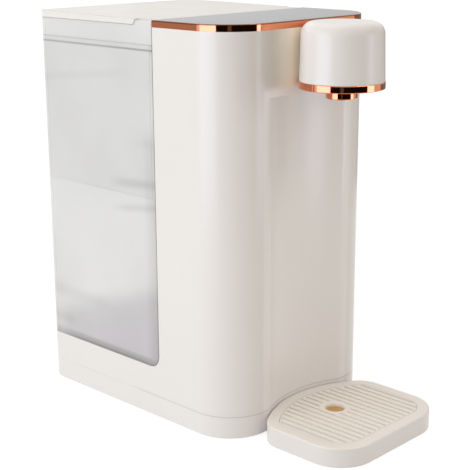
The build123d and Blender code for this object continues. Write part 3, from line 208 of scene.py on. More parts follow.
def tinted(tree, colour, tint):
    """A colour multiplied by another."""
    node = tree.nodes.new("ShaderNodeVectorMath")
    node.operation = "MULTIPLY"
    feed(tree, node.inputs[0], colour)
    feed(tree, node.inputs[1], tint)
    return node.outputs[0]


def split(tree, node, output):
    """The X, Y and Z of a node's output."""
    parts = tree.nodes.new("ShaderNodeSeparateXYZ")
    link(tree, node, output, parts, 0)
    return parts.outputs["X"], parts.outputs["Y"], parts.outputs["Z"]


def object_place(tree):
    """Where the surface is, in the frame of the object."""
    return split(tree, tree.nodes.new("ShaderNodeTexCoord"), "Object")


def facing(tree):
    """The direction that the surface faces."""
    return split(tree, tree.nodes.new("ShaderNodeNewGeometry"), "Normal")


def noise(tree, scale, detail=2.0, stretch=None):
    """Clouds of a size in the object's frame, drawn out along an axis where there is a stretch."""
    node = tree.nodes.new("ShaderNodeTexNoise")
    feed(tree, node.inputs["Scale"], scale)
    set_input(node, "Detail", detail)
    place = tree.nodes.new("ShaderNodeTexCoord").outputs["Object"]
    if stretch:
        turn = tree.nodes.new("ShaderNodeMapping")
        set_input(turn, "Scale", stretch)
        tree.links.new(place, turn.inputs["Vector"])
        place = turn.outputs[0]
    tree.links.new(place, node.inputs["Vector"])
    return node.outputs["Fac"]


def colour_band(tree, share, stops):
    """A colour from a table of (share, red, green, blue), whose shares go from 0 to 1."""
    band = tree.nodes.new("ShaderNodeValToRGB")
    marks = band.color_ramp.elements
    for place, *_ in stops[1:-1]:
        marks.new(place)
    for mark, (_, *tone) in zip(marks, stops):
        mark.color = (*tone, 1)
    feed(tree, band.inputs[0], share)
    return band.outputs[0]


def stroke(tree, value, place, half, tone):
    """A factor that is tone on a thin line and 1 beside it."""
    off = maths(tree, "ABSOLUTE", maths(tree, "SUBTRACT", value, place))
    return ramp(tree, off, 0.3 * half, half, tone, 1.0)


def partly(tree, factor, share):
    """A factor that counts in full where the share is 1 and not at all where it is 0."""
    return rest_of(tree, product(tree, rest_of(tree, factor), share))


def slanted(tree, height, depth, place, fall, half, tone):
    """A soft dark line that falls towards the rear."""
    line = maths(tree, "ADD", height, product(tree, depth, fall))
    off = maths(tree, "ABSOLUTE", maths(tree, "SUBTRACT", line, place))
    return ramp(tree, off, 0.0, half, tone, 1.0)


def group_with(name, inputs):
    """An empty shader group with named inputs, and outputs for the colour, gloss and height of a finish."""
    group = bpy.data.node_groups.new(name, "ShaderNodeTree")
    kinds = {"Colour": "NodeSocketColor", "Roughness": "NodeSocketFloat", "Height": "NodeSocketFloat"}
    for title, value in inputs.items():
        socket = group.interface.new_socket(name=title, in_out="INPUT",
                                            socket_type=kinds.get(title, "NodeSocketFloat"))
        socket.default_value = value
    for title, kind in kinds.items():
        group.interface.new_socket(name=title, in_out="OUTPUT", socket_type=kind)
    return group, group.nodes.new("NodeGroupInput"), group.nodes.new("NodeGroupOutput")


def recolour(material, change):
    """Passes the colour on its way to the shader through change(tree, colour)."""
    tree = material.node_tree
    socket = shader_of(material).inputs["Base Color"]
    tree.links.new(change(tree, socket.links[0].from_socket), socket)


def mould_group():
    """Moulded plastic: slight clouds in the colour, uneven gloss and a fine skin texture."""
    group = bpy.data.node_groups.get("moulded_skin")
    if group:
        return group
    group, inputs, outputs = group_with("moulded_skin", {
        "Colour": (0.8, 0.8, 0.8, 1), "Cloud Size": 30.0, "Cloud Depth": 0.03, "Roughness": 0.25,
        "Gloss Change": 0.05, "Skin Size": 1500.0})
    given = inputs.outputs
    clouds = maths(group, "SUBTRACT", noise(group, given["Cloud Size"], 3.0), 0.5)
    shade = maths(group, "MULTIPLY_ADD", clouds, given["Cloud Depth"], 1.0)
    gloss = maths(group, "MULTIPLY_ADD", clouds, given["Gloss Change"], given["Roughness"])
    group.links.new(dim(group, given["Colour"], shade), outputs.inputs["Colour"])
    group.links.new(gloss, outputs.inputs["Roughness"])
    group.links.new(noise(group, given["Skin Size"]), outputs.inputs["Height"])
    return group


def grouped_finish(name, group, values, strength, depth):
    """A material whose colour, gloss and fine relief come from a shared group, and the node of its relief."""
    material, tree, shader = new_material(name)
    skin = tree.nodes.new("ShaderNodeGroup")
    skin.node_tree = group
    for title, value in values.items():
        set_input(skin, title, value)
    bump = tree.nodes.new("ShaderNodeBump")
    set_input(bump, "Strength", strength)
    set_input(bump, "Distance", depth)
    link(tree, skin, "Colour", shader, "Base Color")
    link(tree, skin, "Roughness", shader, "Roughness")
    link(tree, skin, "Height", bump, "Height")
    link(tree, bump, "Normal", shader, "Normal")
    return material, bump


def moulded(name, colour, roughness, coat=0.0, cloud=0.03, skin=1500.0, skin_depth=0.00002, rounding=0.0):
    """A plastic or rubber finish that uses the shared moulded skin."""
    values = {"Colour": (*colour, 1), "Roughness": roughness, "Cloud Depth": cloud, "Skin Size": skin}
    material, bump = grouped_finish(name, mould_group(), values, strength=0.3, depth=skin_depth)
    if rounding:
        tree = material.node_tree
        soft = tree.nodes.new("ShaderNodeBevel")
        soft.samples = 4
        set_input(soft, "Radius", rounding)
        link(tree, soft, "Normal", bump, "Normal")
    set_input(shader_of(material), "Coat Weight", coat)
    set_input(shader_of(material), "Coat Roughness", 0.06)
    return material


def metal(name, colour, roughness, cloud=0.04, skin=900.0, skin_depth=0.000004, rounding=0.0):
    """A plated or plain metal that uses the shared moulded skin."""
    material = moulded(name, colour, roughness, 0.0, cloud, skin, skin_depth, rounding)
    set_input(shader_of(material), "Metallic", 1.0)
    return material


def brushed_group():
    """Fine drawn lines for steel: they change the colour, the gloss and the height."""
    group = bpy.data.node_groups.get("drawn_lines")
    if group:
        return group
    group, inputs, outputs = group_with("drawn_lines", {
        "Colour": (0.6, 0.6, 0.6, 1), "Depth": 0.1, "Roughness": 0.3})
    given = inputs.outputs
    lines = noise(group, 60.0, 4.0, (1.0, 1.0, 60.0))
    change = product(group, maths(group, "SUBTRACT", lines, 0.5), given["Depth"])
    group.links.new(dim(group, given["Colour"], maths(group, "ADD", change, 1.0)), outputs.inputs["Colour"])
    group.links.new(maths(group, "ADD", given["Roughness"], change), outputs.inputs["Roughness"])
    group.links.new(lines, outputs.inputs["Height"])
    return group


def drawn_metal(name, colour, roughness, depth=0.25):
    """Drawn or rolled metal with fine lines round the part."""
    values = {"Colour": (*colour, 1), "Depth": depth, "Roughness": roughness}
    material, _ = grouped_finish(name, brushed_group(), values, strength=0.2, depth=0.00002)
    set_input(shader_of(material), "Metallic", 1.0)
    return material


def circuit_board(name):
    """Green board with paler tracks and small solder points."""
    material = moulded(name, (0.025, 0.12, 0.055), 0.35, coat=0.4, cloud=0.15, skin=500.0)

    def tracks(tree, colour):
        cells = tree.nodes.new("ShaderNodeTexVoronoi")
        cells.distance = "MANHATTAN"
        cells.feature = "DISTANCE_TO_EDGE"
        set_input(cells, "Scale", 160.0)
        dots = tree.nodes.new("ShaderNodeTexVoronoi")
        set_input(dots, "Scale", 260.0)
        place = tree.nodes.new("ShaderNodeTexCoord")
        link(tree, place, "Object", cells, "Vector")
        link(tree, place, "Object", dots, "Vector")
        colour = blend_colour(tree, ramp(tree, cells.outputs["Distance"], 0.02, 0.05, 1, 0), colour,
                              (0.06, 0.24, 0.11, 1))
        return blend_colour(tree, ramp(tree, dots.outputs["Distance"], 0.10, 0.14, 1, 0), colour,
                            (0.62, 0.61, 0.58, 1))

    recolour(material, tracks)
    return material


# Helpers for pieces

def add_object(name, data):
    item = bpy.data.objects.new(name, data)
    bpy.context.scene.collection.objects.link(item)
    return item


def geometry_tree(name, inputs):
    tree = bpy.data.node_groups.new(name, "GeometryNodeTree")
    tree.interface.new_socket(name="Places", in_out="INPUT", socket_type="NodeSocketGeometry")
    for title, kind in inputs:
        tree.interface.new_socket(name=title, in_out="INPUT", socket_type=kind)
    tree.interface.new_socket(name="Geometry", in_out="OUTPUT", socket_type="NodeSocketGeometry")
    return tree, tree.nodes.new("NodeGroupInput"), tree.nodes.new("NodeGroupOutput")


def finish_tree(tree, inputs, outputs, geometry):
    """Ends a tree: makes the copies real and gives them their finish."""
    real = tree.nodes.new("GeometryNodeRealizeInstances")
    finish = tree.nodes.new("GeometryNodeSetMaterial")
    tree.links.new(geometry, real.inputs[0])
    link(tree, real, "Geometry", finish, "Geometry")
    link(tree, inputs, "Finish", finish, "Material")
    link(tree, finish, "Geometry", outputs, "Geometry")


def mould_tree():
    """Puts a copy of one mould at each place, each turned a little further than the last."""
    tree = bpy.data.node_groups.get("mould_at_places")
    if tree:
        return tree
    tree, inputs, outputs = geometry_tree("mould_at_places", (
        ("Mould", "NodeSocketObject"), ("Turn", "NodeSocketFloat"), ("Finish", "NodeSocketMaterial")))
    mould = tree.nodes.new("GeometryNodeObjectInfo")
    link(tree, inputs, "Mould", mould, "Object")
    number = tree.nodes.new("GeometryNodeInputIndex")
    angles = tree.nodes.new("ShaderNodeCombineXYZ")
    tree.links.new(product(tree, number.outputs[0], inputs.outputs["Turn"]), angles.inputs["Z"])
    rotation = tree.nodes.new("FunctionNodeEulerToRotation")
    tree.links.new(angles.outputs[0], rotation.inputs[0])
    copies = tree.nodes.new("GeometryNodeInstanceOnPoints")
    link(tree, inputs, "Places", copies, "Points")
    link(tree, mould, "Geometry", copies, "Instance")
    tree.links.new(rotation.outputs[0], copies.inputs["Rotation"])
    finish_tree(tree, inputs, outputs, copies.outputs["Instances"])
    return tree


def bead_tree():
    """Runs a round bead along the lines of a mesh."""
    tree = bpy.data.node_groups.get("bead_along_line")
    if tree:
        return tree
    tree, inputs, outputs = geometry_tree("bead_along_line", (
        ("Radius", "NodeSocketFloat"), ("Facets", "NodeSocketInt"), ("Finish", "NodeSocketMaterial")))
    path = tree.nodes.new("GeometryNodeMeshToCurve")
    link(tree, inputs, "Places", path, "Mesh")
    profile = tree.nodes.new("GeometryNodeCurvePrimitiveCircle")
    link(tree, inputs, "Radius", profile, "Radius")
    link(tree, inputs, "Facets", profile, "Resolution")
    bead = tree.nodes.new("GeometryNodeCurveToMesh")
    link(tree, path, "Curve", bead, "Curve")
    link(tree, profile, "Curve", bead, "Profile Curve")
    set_input(bead, "Fill Caps", True)
    finish_tree(tree, inputs, outputs, bead.outputs["Mesh"])
    return tree


def grow(name, places, tree, values):
    """Runs a geometry tree on a mesh of places and keeps the result as a plain mesh."""
    carrier = add_object(name + "_places", places)
    modifier = carrier.modifiers.new("pieces", "NODES")
    modifier.node_group = tree
    for item in tree.interface.items_tree:
        if item.item_type == "SOCKET" and item.in_out == "INPUT" and item.name in values:
            modifier[item.identifier] = values[item.name]
    bpy.context.view_layer.update()
    evaluated = carrier.evaluated_get(bpy.context.evaluated_depsgraph_get())
    mesh = bpy.data.meshes.new_from_object(evaluated)
    carrier.modifiers.remove(modifier)
    bpy.data.objects.remove(carrier)
    piece = add_object(name, mesh)
    for face in mesh.polygons:
        face.use_smooth = True
    if not mesh.polygons:
        raise RuntimeError("no geometry was made for " + name)
    return piece


def plain_mesh(name, points, edges=(), faces=()):
    mesh = bpy.data.meshes.new(name)
    mesh.from_pydata(points, edges, faces)
    return mesh


def turned_mesh(name, profile, steps):
    """A turned shape from (radius, height) points, closed on its axis."""
    shape = bmesh.new()
    angles = [2 * math.pi * step / steps for step in range(steps)]
    rings = []
    for radius, height in profile:
        around = angles if radius else angles[:1]
        rings.append([shape.verts.new((radius * math.cos(a), radius * math.sin(a), height)) for a in around])
    for lower, upper in zip(rings, rings[1:]):
        for step in range(steps):
            after = (step + 1) % steps
            corners = [lower[step % len(lower)], lower[after % len(lower)], upper[after % len(upper)],
                       upper[step % len(upper)]]
            shape.faces.new(list(dict.fromkeys(corners)))
    bmesh.ops.recalc_face_normals(shape, faces=shape.faces)
    mesh = bpy.data.meshes.new(name)
    shape.to_mesh(mesh)
    shape.free()
    return mesh


def at_corners(name, mesh, low, high, radius, turn, finish):
    """A copy of a turned mesh at each corner of a box."""
    mould = add_object(name + "_mould", mesh)
    places = [(x, y, low.z) for x in (low.x + radius, high.x - radius) for y in (low.y + radius, high.y - radius)]
    pieces = grow(name, plain_mesh(name + "_at", places), mould_tree(),
                  {"Mould": mould, "Turn": turn, "Finish": finish})
    bpy.data.objects.remove(mould)
    return pieces


def dress(material, *names):
    """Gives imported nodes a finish."""
    for name in names:
        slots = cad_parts[name].data.materials
        slots.clear()
        slots.append(material)


# Operators: one for each group of pieces

class DISPENSER_OT_white_mouldings(bpy.types.Operator):
    """Finish the glossy white body, head, lid and tray"""
    bl_idname = "dispenser.white_mouldings"
    bl_label = "White mouldings"
    # Painted shade and reflection of the head on the body beside it: distance from the middle, and red, green and
    # blue
    PAINTED_HEAD_SHADE = ((0.020, 1.2, 1.12, 0.95), (0.0255, 1.0, 0.97, 0.86), (0.030, 0.90, 0.87, 0.78),
                 (0.035, 0.78, 0.75, 0.67), (0.040, 0.70, 0.68, 0.62), (0.045, 0.71, 0.69, 0.66),
                 (0.050, 0.77, 0.75, 0.73), (0.056, 0.83, 0.81, 0.78), (0.065, 0.90, 0.89, 0.89),
                 (0.071, 0.94, 0.95, 0.95), (0.077, 0.985, 0.99, 0.99), (0.081, 1.0, 1.0, 1.0))
    # Painted light: tint that makes the tray's up-facing rim paler
    PAINTED_RIM_LIGHT = (1.13, 1.11, 1.07, 1)
    SEAM_HALF = 0.0005
    SEAM_TONE = 0.80

    def execute(self, context):
        look = context.scene.dispenser_finishes
        gloss = look.white_gloss
        for name, rounding, pieces in (("gloss_white", 0.0, ("tower_shell", "base_deck", "base_pan")),
                                       ("gloss_white_round", 0.0008, ("tap_head_shell", "tank_lid"))):
            body = moulded(name, tuple(look.white), gloss, cloud=0.02, skin=60.0, skin_depth=0.00010,
                           rounding=rounding)
            set_input(shader_of(body), "Specular IOR Level", look.white_shine)
            recolour(body, self.painted_facing_light if rounding else self.painted_head_shade_and_seam)
            dress(body, *pieces)
        tray = moulded("tray_white", tuple(look.tray), gloss + 0.12, coat=0.1, skin=700.0, rounding=0.0006)
        recolour(tray, self.painted_tray_shade_and_light)
        dress(tray, "tray_basin")
        grille = moulded("grille_white", tuple(look.grille), gloss + 0.3, cloud=0.04, skin=900.0,
                         skin_depth=0.00003, rounding=0.0003)
        dress(grille, "tray_grille")
        dress(moulded("gland_white", tuple(look.white), 0.45), "cord_gland")
        return {"FINISHED"}

    @staticmethod
    def painted_facing_light(tree, colour):
        """Painted light and shade: the front of the head and lid is painted a little deeper, and their rear and the
        head's crown are painted paler.
        """
        _, ahead, up = facing(tree)
        head_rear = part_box("tap_head_shell")[1].y
        on_head = ramp(tree, object_place(tree)[1], head_rear, head_rear + 0.004, 1.0, 0.0)
        return dim(tree, colour, product(
            tree, ramp(tree, ahead, -1.0, -0.1, 0.90, 1.0), ramp(tree, ahead, 0.02, 0.30, 1.0, 1.10),
            partly(tree, ramp(tree, up, 0.55, 0.95, 1.0, 1.12), on_head)))

    def painted_head_shade_and_seam(self, tree, colour):
        """Painted shade and reflection of the head make the body deeper and warmer round it, and the seam above its
        base shows at the front.
        """
        across, along, height = object_place(tree)
        reach = maths(tree, "ABSOLUTE", across)
        base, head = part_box("base_deck")[0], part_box("tap_head_shell")[0].z
        # Where the painted shade of the head lies: fading downwards from the head, and only above the recess close to
        # it
        lintel = ramp(tree, height, head - 0.0080, head - 0.0015)
        under_head = ramp(tree, reach, 0.046, 0.050, 1.0, 0.0)
        share = product(tree, ramp(tree, height, head - 0.037, head + 0.010, 0.3, 1.0),
                        partly(tree, lintel, under_head))
        near_front = ramp(tree, along, base.y + 0.012, base.y + 0.040, 1.0, 0.0)
        seam = partly(tree, stroke(tree, height, base.z, self.SEAM_HALF, self.SEAM_TONE), near_front)
        start, width = self.PAINTED_HEAD_SHADE[0][0], self.PAINTED_HEAD_SHADE[-1][0] - self.PAINTED_HEAD_SHADE[0][0]
        beside = maths(tree, "DIVIDE", maths(tree, "SUBTRACT", reach, start), width)
        painted_shade_colour = colour_band(tree, beside, [((place - start) / width, *tone) for place, *tone in self.PAINTED_HEAD_SHADE])
        return tinted(tree, dim(tree, colour, seam), blend_colour(tree, share, (1, 1, 1, 1), painted_shade_colour))

    def painted_tray_shade_and_light(self, tree, colour):
        """Painted shade gives the basin's floor, under the grille, a deeper, warmer tone with a painted glow, and
        painted light makes the tray's up-facing rim a paler one.
        """
        look = bpy.context.scene.dispenser_finishes
        basin_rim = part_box("tray_grille")[0].z
        up = ramp(tree, facing(tree)[2], 0.3, 0.7)
        floor = product(tree, up, ramp(tree, object_place(tree)[2], basin_rim - 0.004, basin_rim - 0.002, 1, 0))
        shader = tree.nodes["Principled BSDF"]
        # Painted glow: the basin floor shines a little, in place of light through the thin tray
        painted_glow = blend_colour(tree, floor, (0, 0, 0, 1), (*look.painted_basin_glow, 1))
        tree.links.new(painted_glow, shader.inputs["Emission Color"])
        set_input(shader, "Emission Strength", 1.0)
        rim = blend_colour(tree, maths(tree, "SUBTRACT", up, floor), (1, 1, 1, 1), self.PAINTED_RIM_LIGHT)
        return blend_colour(tree, floor, tinted(tree, colour, rim), (*look.basin_shade, 1))


class DISPENSER_OT_copper_bands(bpy.types.Operator):
    """Finish the plated band, the head's ring and the nozzle collar"""
    bl_idname = "dispenser.copper_bands"
    bl_label = "Copper bands"
    # Painted reflection: tone of the dark line along the band's top edge
    PAINTED_EDGE_REFLECTION = 0.30

    def execute(self, context):
        colour = tuple(context.scene.dispenser_finishes.copper)
        copper = metal("rose_copper", colour, 0.07, cloud=0.03, skin=400.0, skin_depth=0.000006, rounding=0.0003)
        set_input(shader_of(copper), "Coat Weight", 0.35)
        set_input(shader_of(copper), "Coat IOR", 1.8)
        recolour(copper, self.painted_edge_reflection)
        dress(copper, "trim_band", "tap_head_ring", "nozzle_collar")
        return {"FINISHED"}

    def painted_edge_reflection(self, tree, colour):
        """Painted reflection: the band's upper edge, where it meets the glass, is painted as a dark line."""
        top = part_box("trim_band")[1].z
        return dim(tree, colour, ramp(tree, object_place(tree)[2], top - 0.0012, top - 0.0007, 1.0, self.PAINTED_EDGE_REFLECTION))


class DISPENSER_OT_glass_top(bpy.types.Operator):
    """Finish the mirror-gloss glass top, with a faint ring over each touch pad"""
    bl_idname = "dispenser.glass_top"
    bl_label = "Glass top"
    PAD_PITCH = 0.019
    RING_RADIUS = 0.005
    DOT_RADIUS = 0.0008
    MARK_COLOUR = (0.5, 0.5, 0.49, 1)

    def execute(self, context):
        colour = tuple(context.scene.dispenser_finishes.glass)
        glass = moulded("mirror_glass", colour, 0.04, cloud=0.05, skin=40.0)
        set_input(shader_of(glass), "IOR", 1.36)
        recolour(glass, self.touch_rings)
        dress(glass, "touch_panel")
        return {"FINISHED"}

    def touch_rings(self, tree, colour):
        """A ring with a dot in it over each touch pad."""
        low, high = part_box("touch_pads")
        across, along, _ = object_place(tree)
        beside = maths(tree, "WRAP", across, self.PAD_PITCH / 2, -self.PAD_PITCH / 2)
        ahead = maths(tree, "SUBTRACT", along, (low.y + high.y) / 2)
        reach = maths(tree, "SQRT", maths(tree, "ADD", product(tree, beside, beside), product(tree, ahead, ahead)))
        off_line = maths(tree, "ABSOLUTE", maths(tree, "SUBTRACT", reach, self.RING_RADIUS))
        ring = ramp(tree, off_line, 0.00015, 0.0003, 1, 0)
        dot = ramp(tree, reach, self.DOT_RADIUS, self.DOT_RADIUS + 0.0002, 1, 0)
        inside = ramp(tree, maths(tree, "ABSOLUTE", across), high.x + 0.002, high.x + 0.0022, 1, 0)
        mark = product(tree, maths(tree, "MAXIMUM", ring, dot), inside, 0.5)
        return blend_colour(tree, mark, colour, self.MARK_COLOUR)


class DISPENSER_OT_tank(bpy.types.Operator):
    """Finish the frosted tank and its fittings, and run the level bead round it"""
    bl_idname = "dispenser.tank"
    bl_label = "Tank"
    # Painted shade and reflection in soft lines on the wall: the line that they follow, their height above it, their
    # fall to the rear, their half height and tone, and how far behind the tank's front they are gone and full
    PAINTED_SHADE_LINES = (("mark", 0.0105, 0.07, 0.0060, 0.84, 0.055, 0.030),
               ("mark", -0.0065, 0.13, 0.0048, 0.88, 0.055, 0.030),
               ("mark", 0.0400, 0.00, 0.0050, 0.955, 0.030, 0.012),
               ("ledge", -0.0140, 0.11, 0.0060, 0.95, 0.015, 0.050),
               ("foot", 0.0380, 0.00, 0.0100, 0.91, 0.045, 0.075),
               ("foot", 0.0150, 0.00, 0.0060, 0.93, 0.096, 0.104))
    # Lines where the tank's floor shows through its wall: place in the lowest part of the wall, and tone
    FOOT_LINES = ((0.0, 0.50), (0.14, 0.60), (0.24, 0.80), (0.36, 0.60), (0.48, 0.86), (0.62, 0.74), (0.80, 0.98),
                  (1.0, 1.0))
    FOOT_LINES_HEIGHT = 0.0085
    # Painted shade at the foot: how its upper edge falls to the rear, and its purple-grey tint
    FOOT_LEAN = 0.335
    PAINTED_FOOT_TINT = (0.985, 0.94, 1.0, 1)
    BEAD_START = 0.004
    CORNER = 0.005
    CORNER_STEPS = 6

    def execute(self, context):
        colour = tuple(context.scene.dispenser_finishes.tank)
        wall = moulded("frosted_tank", colour, 0.32, coat=0.2, cloud=0.02, skin=900.0)
        recolour(wall, self.shades)
        set_input(shader_of(wall), "Transmission Weight", 0.36)
        set_input(shader_of(wall), "IOR", 1.46)
        dress(wall, "tank_shell")
        self.level_bead(wall)
        fittings = moulded("valve_white", (0.74, 0.74, 0.74), 0.35)
        dress(fittings, "valve_housing", "outlet_strainer", "valve_plunger", "float_post", "level_float")
        seal = moulded("clear_silicone", (0.72, 0.71, 0.70), 0.5)
        dress(seal, "valve_seal", "tank_seat_seal", "outlet_spout")
        dress(moulded("gasket_grey", (0.36, 0.36, 0.37), 0.5), "lid_gasket")
        dress(metal("spring_steel", (0.62, 0.62, 0.63), 0.25), "valve_spring")
        dress(moulded("coated_magnet", (0.05, 0.05, 0.055), 0.4), "float_magnet")
        return {"FINISHED"}

    def shades(self, tree, colour):
        """Cloudy wall: its ledges, edges and foot show as soft lines, with painted shade and light at its edges and
        foot and in slanted lines, and it is paler below the level mark.
        """
        mark = bpy.context.scene.dispenser_finishes.level_mark
        low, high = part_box("tank_shell")
        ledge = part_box("lid_gasket")
        _, along, height = object_place(tree)
        depth = maths(tree, "SUBTRACT", along, low.y)
        lean = maths(tree, "ADD", height, product(tree, depth, self.FOOT_LEAN))
        clouds = [maths(tree, "ADD", product(tree, noise(tree, size, 1.0), change), 1.0 - change / 2)
                  for size, change in ((14.0, 0.14), (38.0, 0.06))]
        lines = {"mark": mark, "ledge": ledge[0].z, "foot": low.z}
        painted_lines = [partly(tree, slanted(tree, height, depth, lines[line] + above, fall, half, tone),
                          ramp(tree, depth, gone, full))
                   for line, above, fall, half, tone, gone, full in self.PAINTED_SHADE_LINES]
        tone = product(tree, ramp(tree, height, mark - 0.0004, mark + 0.0004, 1.0, 0.945), *clouds, *painted_lines,
                       *self.ledges(tree, height, depth, ledge[0].z, ledge[1].z),
                       *self.edges(tree, height, depth, mark, ledge[0].z, high.y - low.y),
                       *self.foot(tree, height, depth, lean, low.z, mark))
        # Where the painted purple-grey shade tint lies: low on the wall, and less towards the rear
        share = product(tree, ramp(tree, lean, low.z + 0.030, low.z + 0.070, 0.7, 0.0),
                        ramp(tree, depth, 0.070, 0.105, 1.0, 0.3))
        return tinted(tree, dim(tree, colour, tone), blend_colour(tree, share, (1, 1, 1, 1), self.PAINTED_FOOT_TINT))

    @staticmethod
    def ledges(tree, height, depth, low, high):
        """The two lips of the lid's seal, which are darker towards the front, and the paler wall above them."""
        front = ramp(tree, depth, 0.010, 0.060, 1.0, 0.0)
        between = product(tree, ramp(tree, height, low - 0.003, low - 0.002),
                          ramp(tree, height, high, high + 0.001, 1.0, 0.0))
        return (ramp(tree, height, high, high + 0.002, 1.0, 1.06),
                stroke(tree, height, high + 0.0003, 0.0006, 0.80),
                stroke(tree, height, low + 0.0005, 0.0010, 0.62),
                partly(tree, stroke(tree, height, low + 0.0005, 0.0010, 0.88), front),
                partly(tree, ramp(tree, depth, 0.0025, 0.0045, 0.90, 1.0), between))

    @staticmethod
    def edges(tree, height, depth, mark, ledge, length):
        """Front edge painted deeper as shade, with a fine line beside it, and rear edge painted paler as light,
        behind a fine line.
        """
        above_mark = ramp(tree, height, mark, mark + 0.001)
        below_ledge = ramp(tree, height, ledge - 0.001, ledge, 1.0, 0.0)
        return (partly(tree, ramp(tree, depth, 0.0, 0.010, 0.92, 1.0), rest_of(tree, above_mark)),
                ramp(tree, depth, 0.0006, 0.0016, 0.95, 1.0),
                partly(tree, ramp(tree, height, mark + 0.040, mark + 0.052, 0.92, 1.0),
                       ramp(tree, depth, 0.006, 0.014, 1.0, 0.0)),
                partly(tree, stroke(tree, depth, 0.0028, 0.0006, 0.84), product(tree, above_mark, below_ledge)),
                ramp(tree, depth, length - 0.0065, length - 0.0050, 1.0, 1.045),
                stroke(tree, depth, length - 0.0066, 0.0007, 0.92))

    def foot(self, tree, height, depth, lean, bottom, mark):
        """Painted shade at the foot, whose upper edge falls to the rear, and the lines of the floor, softer at both
        ends.
        """
        rear_edge = ramp(tree, depth, 0.104, 0.119)
        stops = [(place, tone, tone, tone) for place, tone in self.FOOT_LINES]
        lines = colour_band(tree, ramp(tree, height, bottom, bottom + self.FOOT_LINES_HEIGHT), stops)
        ends = product(tree, ramp(tree, depth, 0.0, 0.016, 0.62, 1.0), ramp(tree, depth, 0.088, 0.118, 1.0, 0.5))
        return (partly(tree, ramp(tree, lean, bottom + 0.050, bottom + 0.072, 0.81, 1.0),
                       rest_of(tree, product(tree, rear_edge, 0.6))),
                partly(tree, ramp(tree, height, bottom + 0.050, mark - 0.030, 0.96, 1.0), rear_edge),
                partly(tree, lines, ends))

    def level_bead(self, finish):
        """A fine moulded bead along both sides and round the rear of the tank."""
        level = bpy.context.scene.dispenser_finishes.level_mark
        radius = bpy.context.scene.dispenser_fittings.bead
        low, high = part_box("tank_shell")
        rear = high.y - self.CORNER
        points = [(low.x, low.y + self.BEAD_START), (low.x, rear)]
        for middle, start in ((low.x + self.CORNER, math.pi), (high.x - self.CORNER, math.pi / 2)):
            for step in range(self.CORNER_STEPS + 1):
                angle = start - step * math.pi / (2 * self.CORNER_STEPS)
                points.append((middle + self.CORNER * math.cos(angle), rear + self.CORNER * math.sin(angle)))
        points += [(high.x, rear), (high.x, low.y + self.BEAD_START)]
        mesh = plain_mesh("level_line", [(x, y, level) for x, y in points],
                          [(step, step + 1) for step in range(len(points) - 1)])
        bead = grow("tank_level_bead", mesh, bead_tree(), {"Radius": radius, "Facets": 8, "Finish": finish})
        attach(bead, "tank")


class DISPENSER_OT_inner_parts(bpy.types.Operator):
    """Finish the parts inside the housing and under it"""
    bl_idname = "dispenser.inner_parts"
    bl_label = "Inner parts"

    def execute(self, context):
        dress(moulded("inner_plastic", (0.62, 0.62, 0.60), 0.45), "top_deck", "tap_head_plate", "tap_head_bracket",
              "tank_seat", "board_standoffs", "pump_rotor", "flow_turbine")
        dress(moulded("pad_rubber", (0.10, 0.10, 0.105), 0.75, cloud=0.1, skin=1200.0, skin_depth=0.00005),
              "touch_pads", "pump_motor_rings")
        dress(moulded("black_plastic", (0.045, 0.045, 0.048), 0.4), "heater_caps", "thermal_cutouts", "pump_head",
              "flow_sensor", "level_reed_sensor")
        dress(circuit_board("board_green"), "touch_board", "power_board")
        dress(moulded("hose_silicone", (0.74, 0.74, 0.71), 0.4), "inlet_hose", "suction_hose", "pressure_hose",
              "outlet_hose")
        dress(drawn_metal("plated_steel", (0.55, 0.55, 0.56), 0.30), "heater_bracket", "hose_clips")
        dress(drawn_metal("motor_can", (0.50, 0.50, 0.50), 0.34, depth=0.35), "pump_motor")
        dress(drawn_metal("drawn_steel", (0.60, 0.60, 0.61), 0.26, depth=0.3), "heater_tube")
        dress(drawn_metal("extruded_aluminium", (0.68, 0.69, 0.70), 0.38, depth=0.2), "power_heat_sink")
        return {"FINISHED"}


class DISPENSER_OT_feet(bpy.types.Operator):
    """Make the four rubber feet with ring grooves in their undersides"""
    bl_idname = "dispenser.feet"
    bl_label = "Feet"
    GROOVE_DEPTH = 0.0007
    # Edge of a foot: distance in from its side, and height
    EDGE = ((0.0009, GROOVE_DEPTH), (0.0007, 0.0), (0.0004, 0.00005), (0.0001, 0.00035), (0.0, 0.0007))
    CHAMFER = 0.0002
    STEPS = 48

    def execute(self, context):
        sizes = context.scene.dispenser_fittings
        low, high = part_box("foot_pads")
        radius, top = sizes.foot_radius, high.z - low.z
        profile = [(0, self.GROOVE_DEPTH)]
        pitch = (radius - 0.001) / (sizes.foot_grooves + 0.5)
        for groove in range(sizes.foot_grooves):
            start = pitch * (groove + 0.45)
            stop = start + pitch * 0.5
            profile += [(start, self.GROOVE_DEPTH), (start + self.CHAMFER, 0), (stop, 0),
                        (stop + self.CHAMFER, self.GROOVE_DEPTH)]
        profile += [(radius - inward, height) for inward, height in self.EDGE]
        profile += [(radius, top - self.CHAMFER), (radius - self.CHAMFER, top), (0, top)]
        rubber = moulded("foot_rubber", (0.16, 0.16, 0.165), 0.75, cloud=0.1, skin=1200.0, skin_depth=0.00005)
        mesh = turned_mesh("foot_mould", profile, self.STEPS)
        feet = at_corners("rubber_feet", mesh, low, high, radius, turn=0.3, finish=rubber)
        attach(feet, "housing")
        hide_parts("foot_pads")
        return {"FINISHED"}


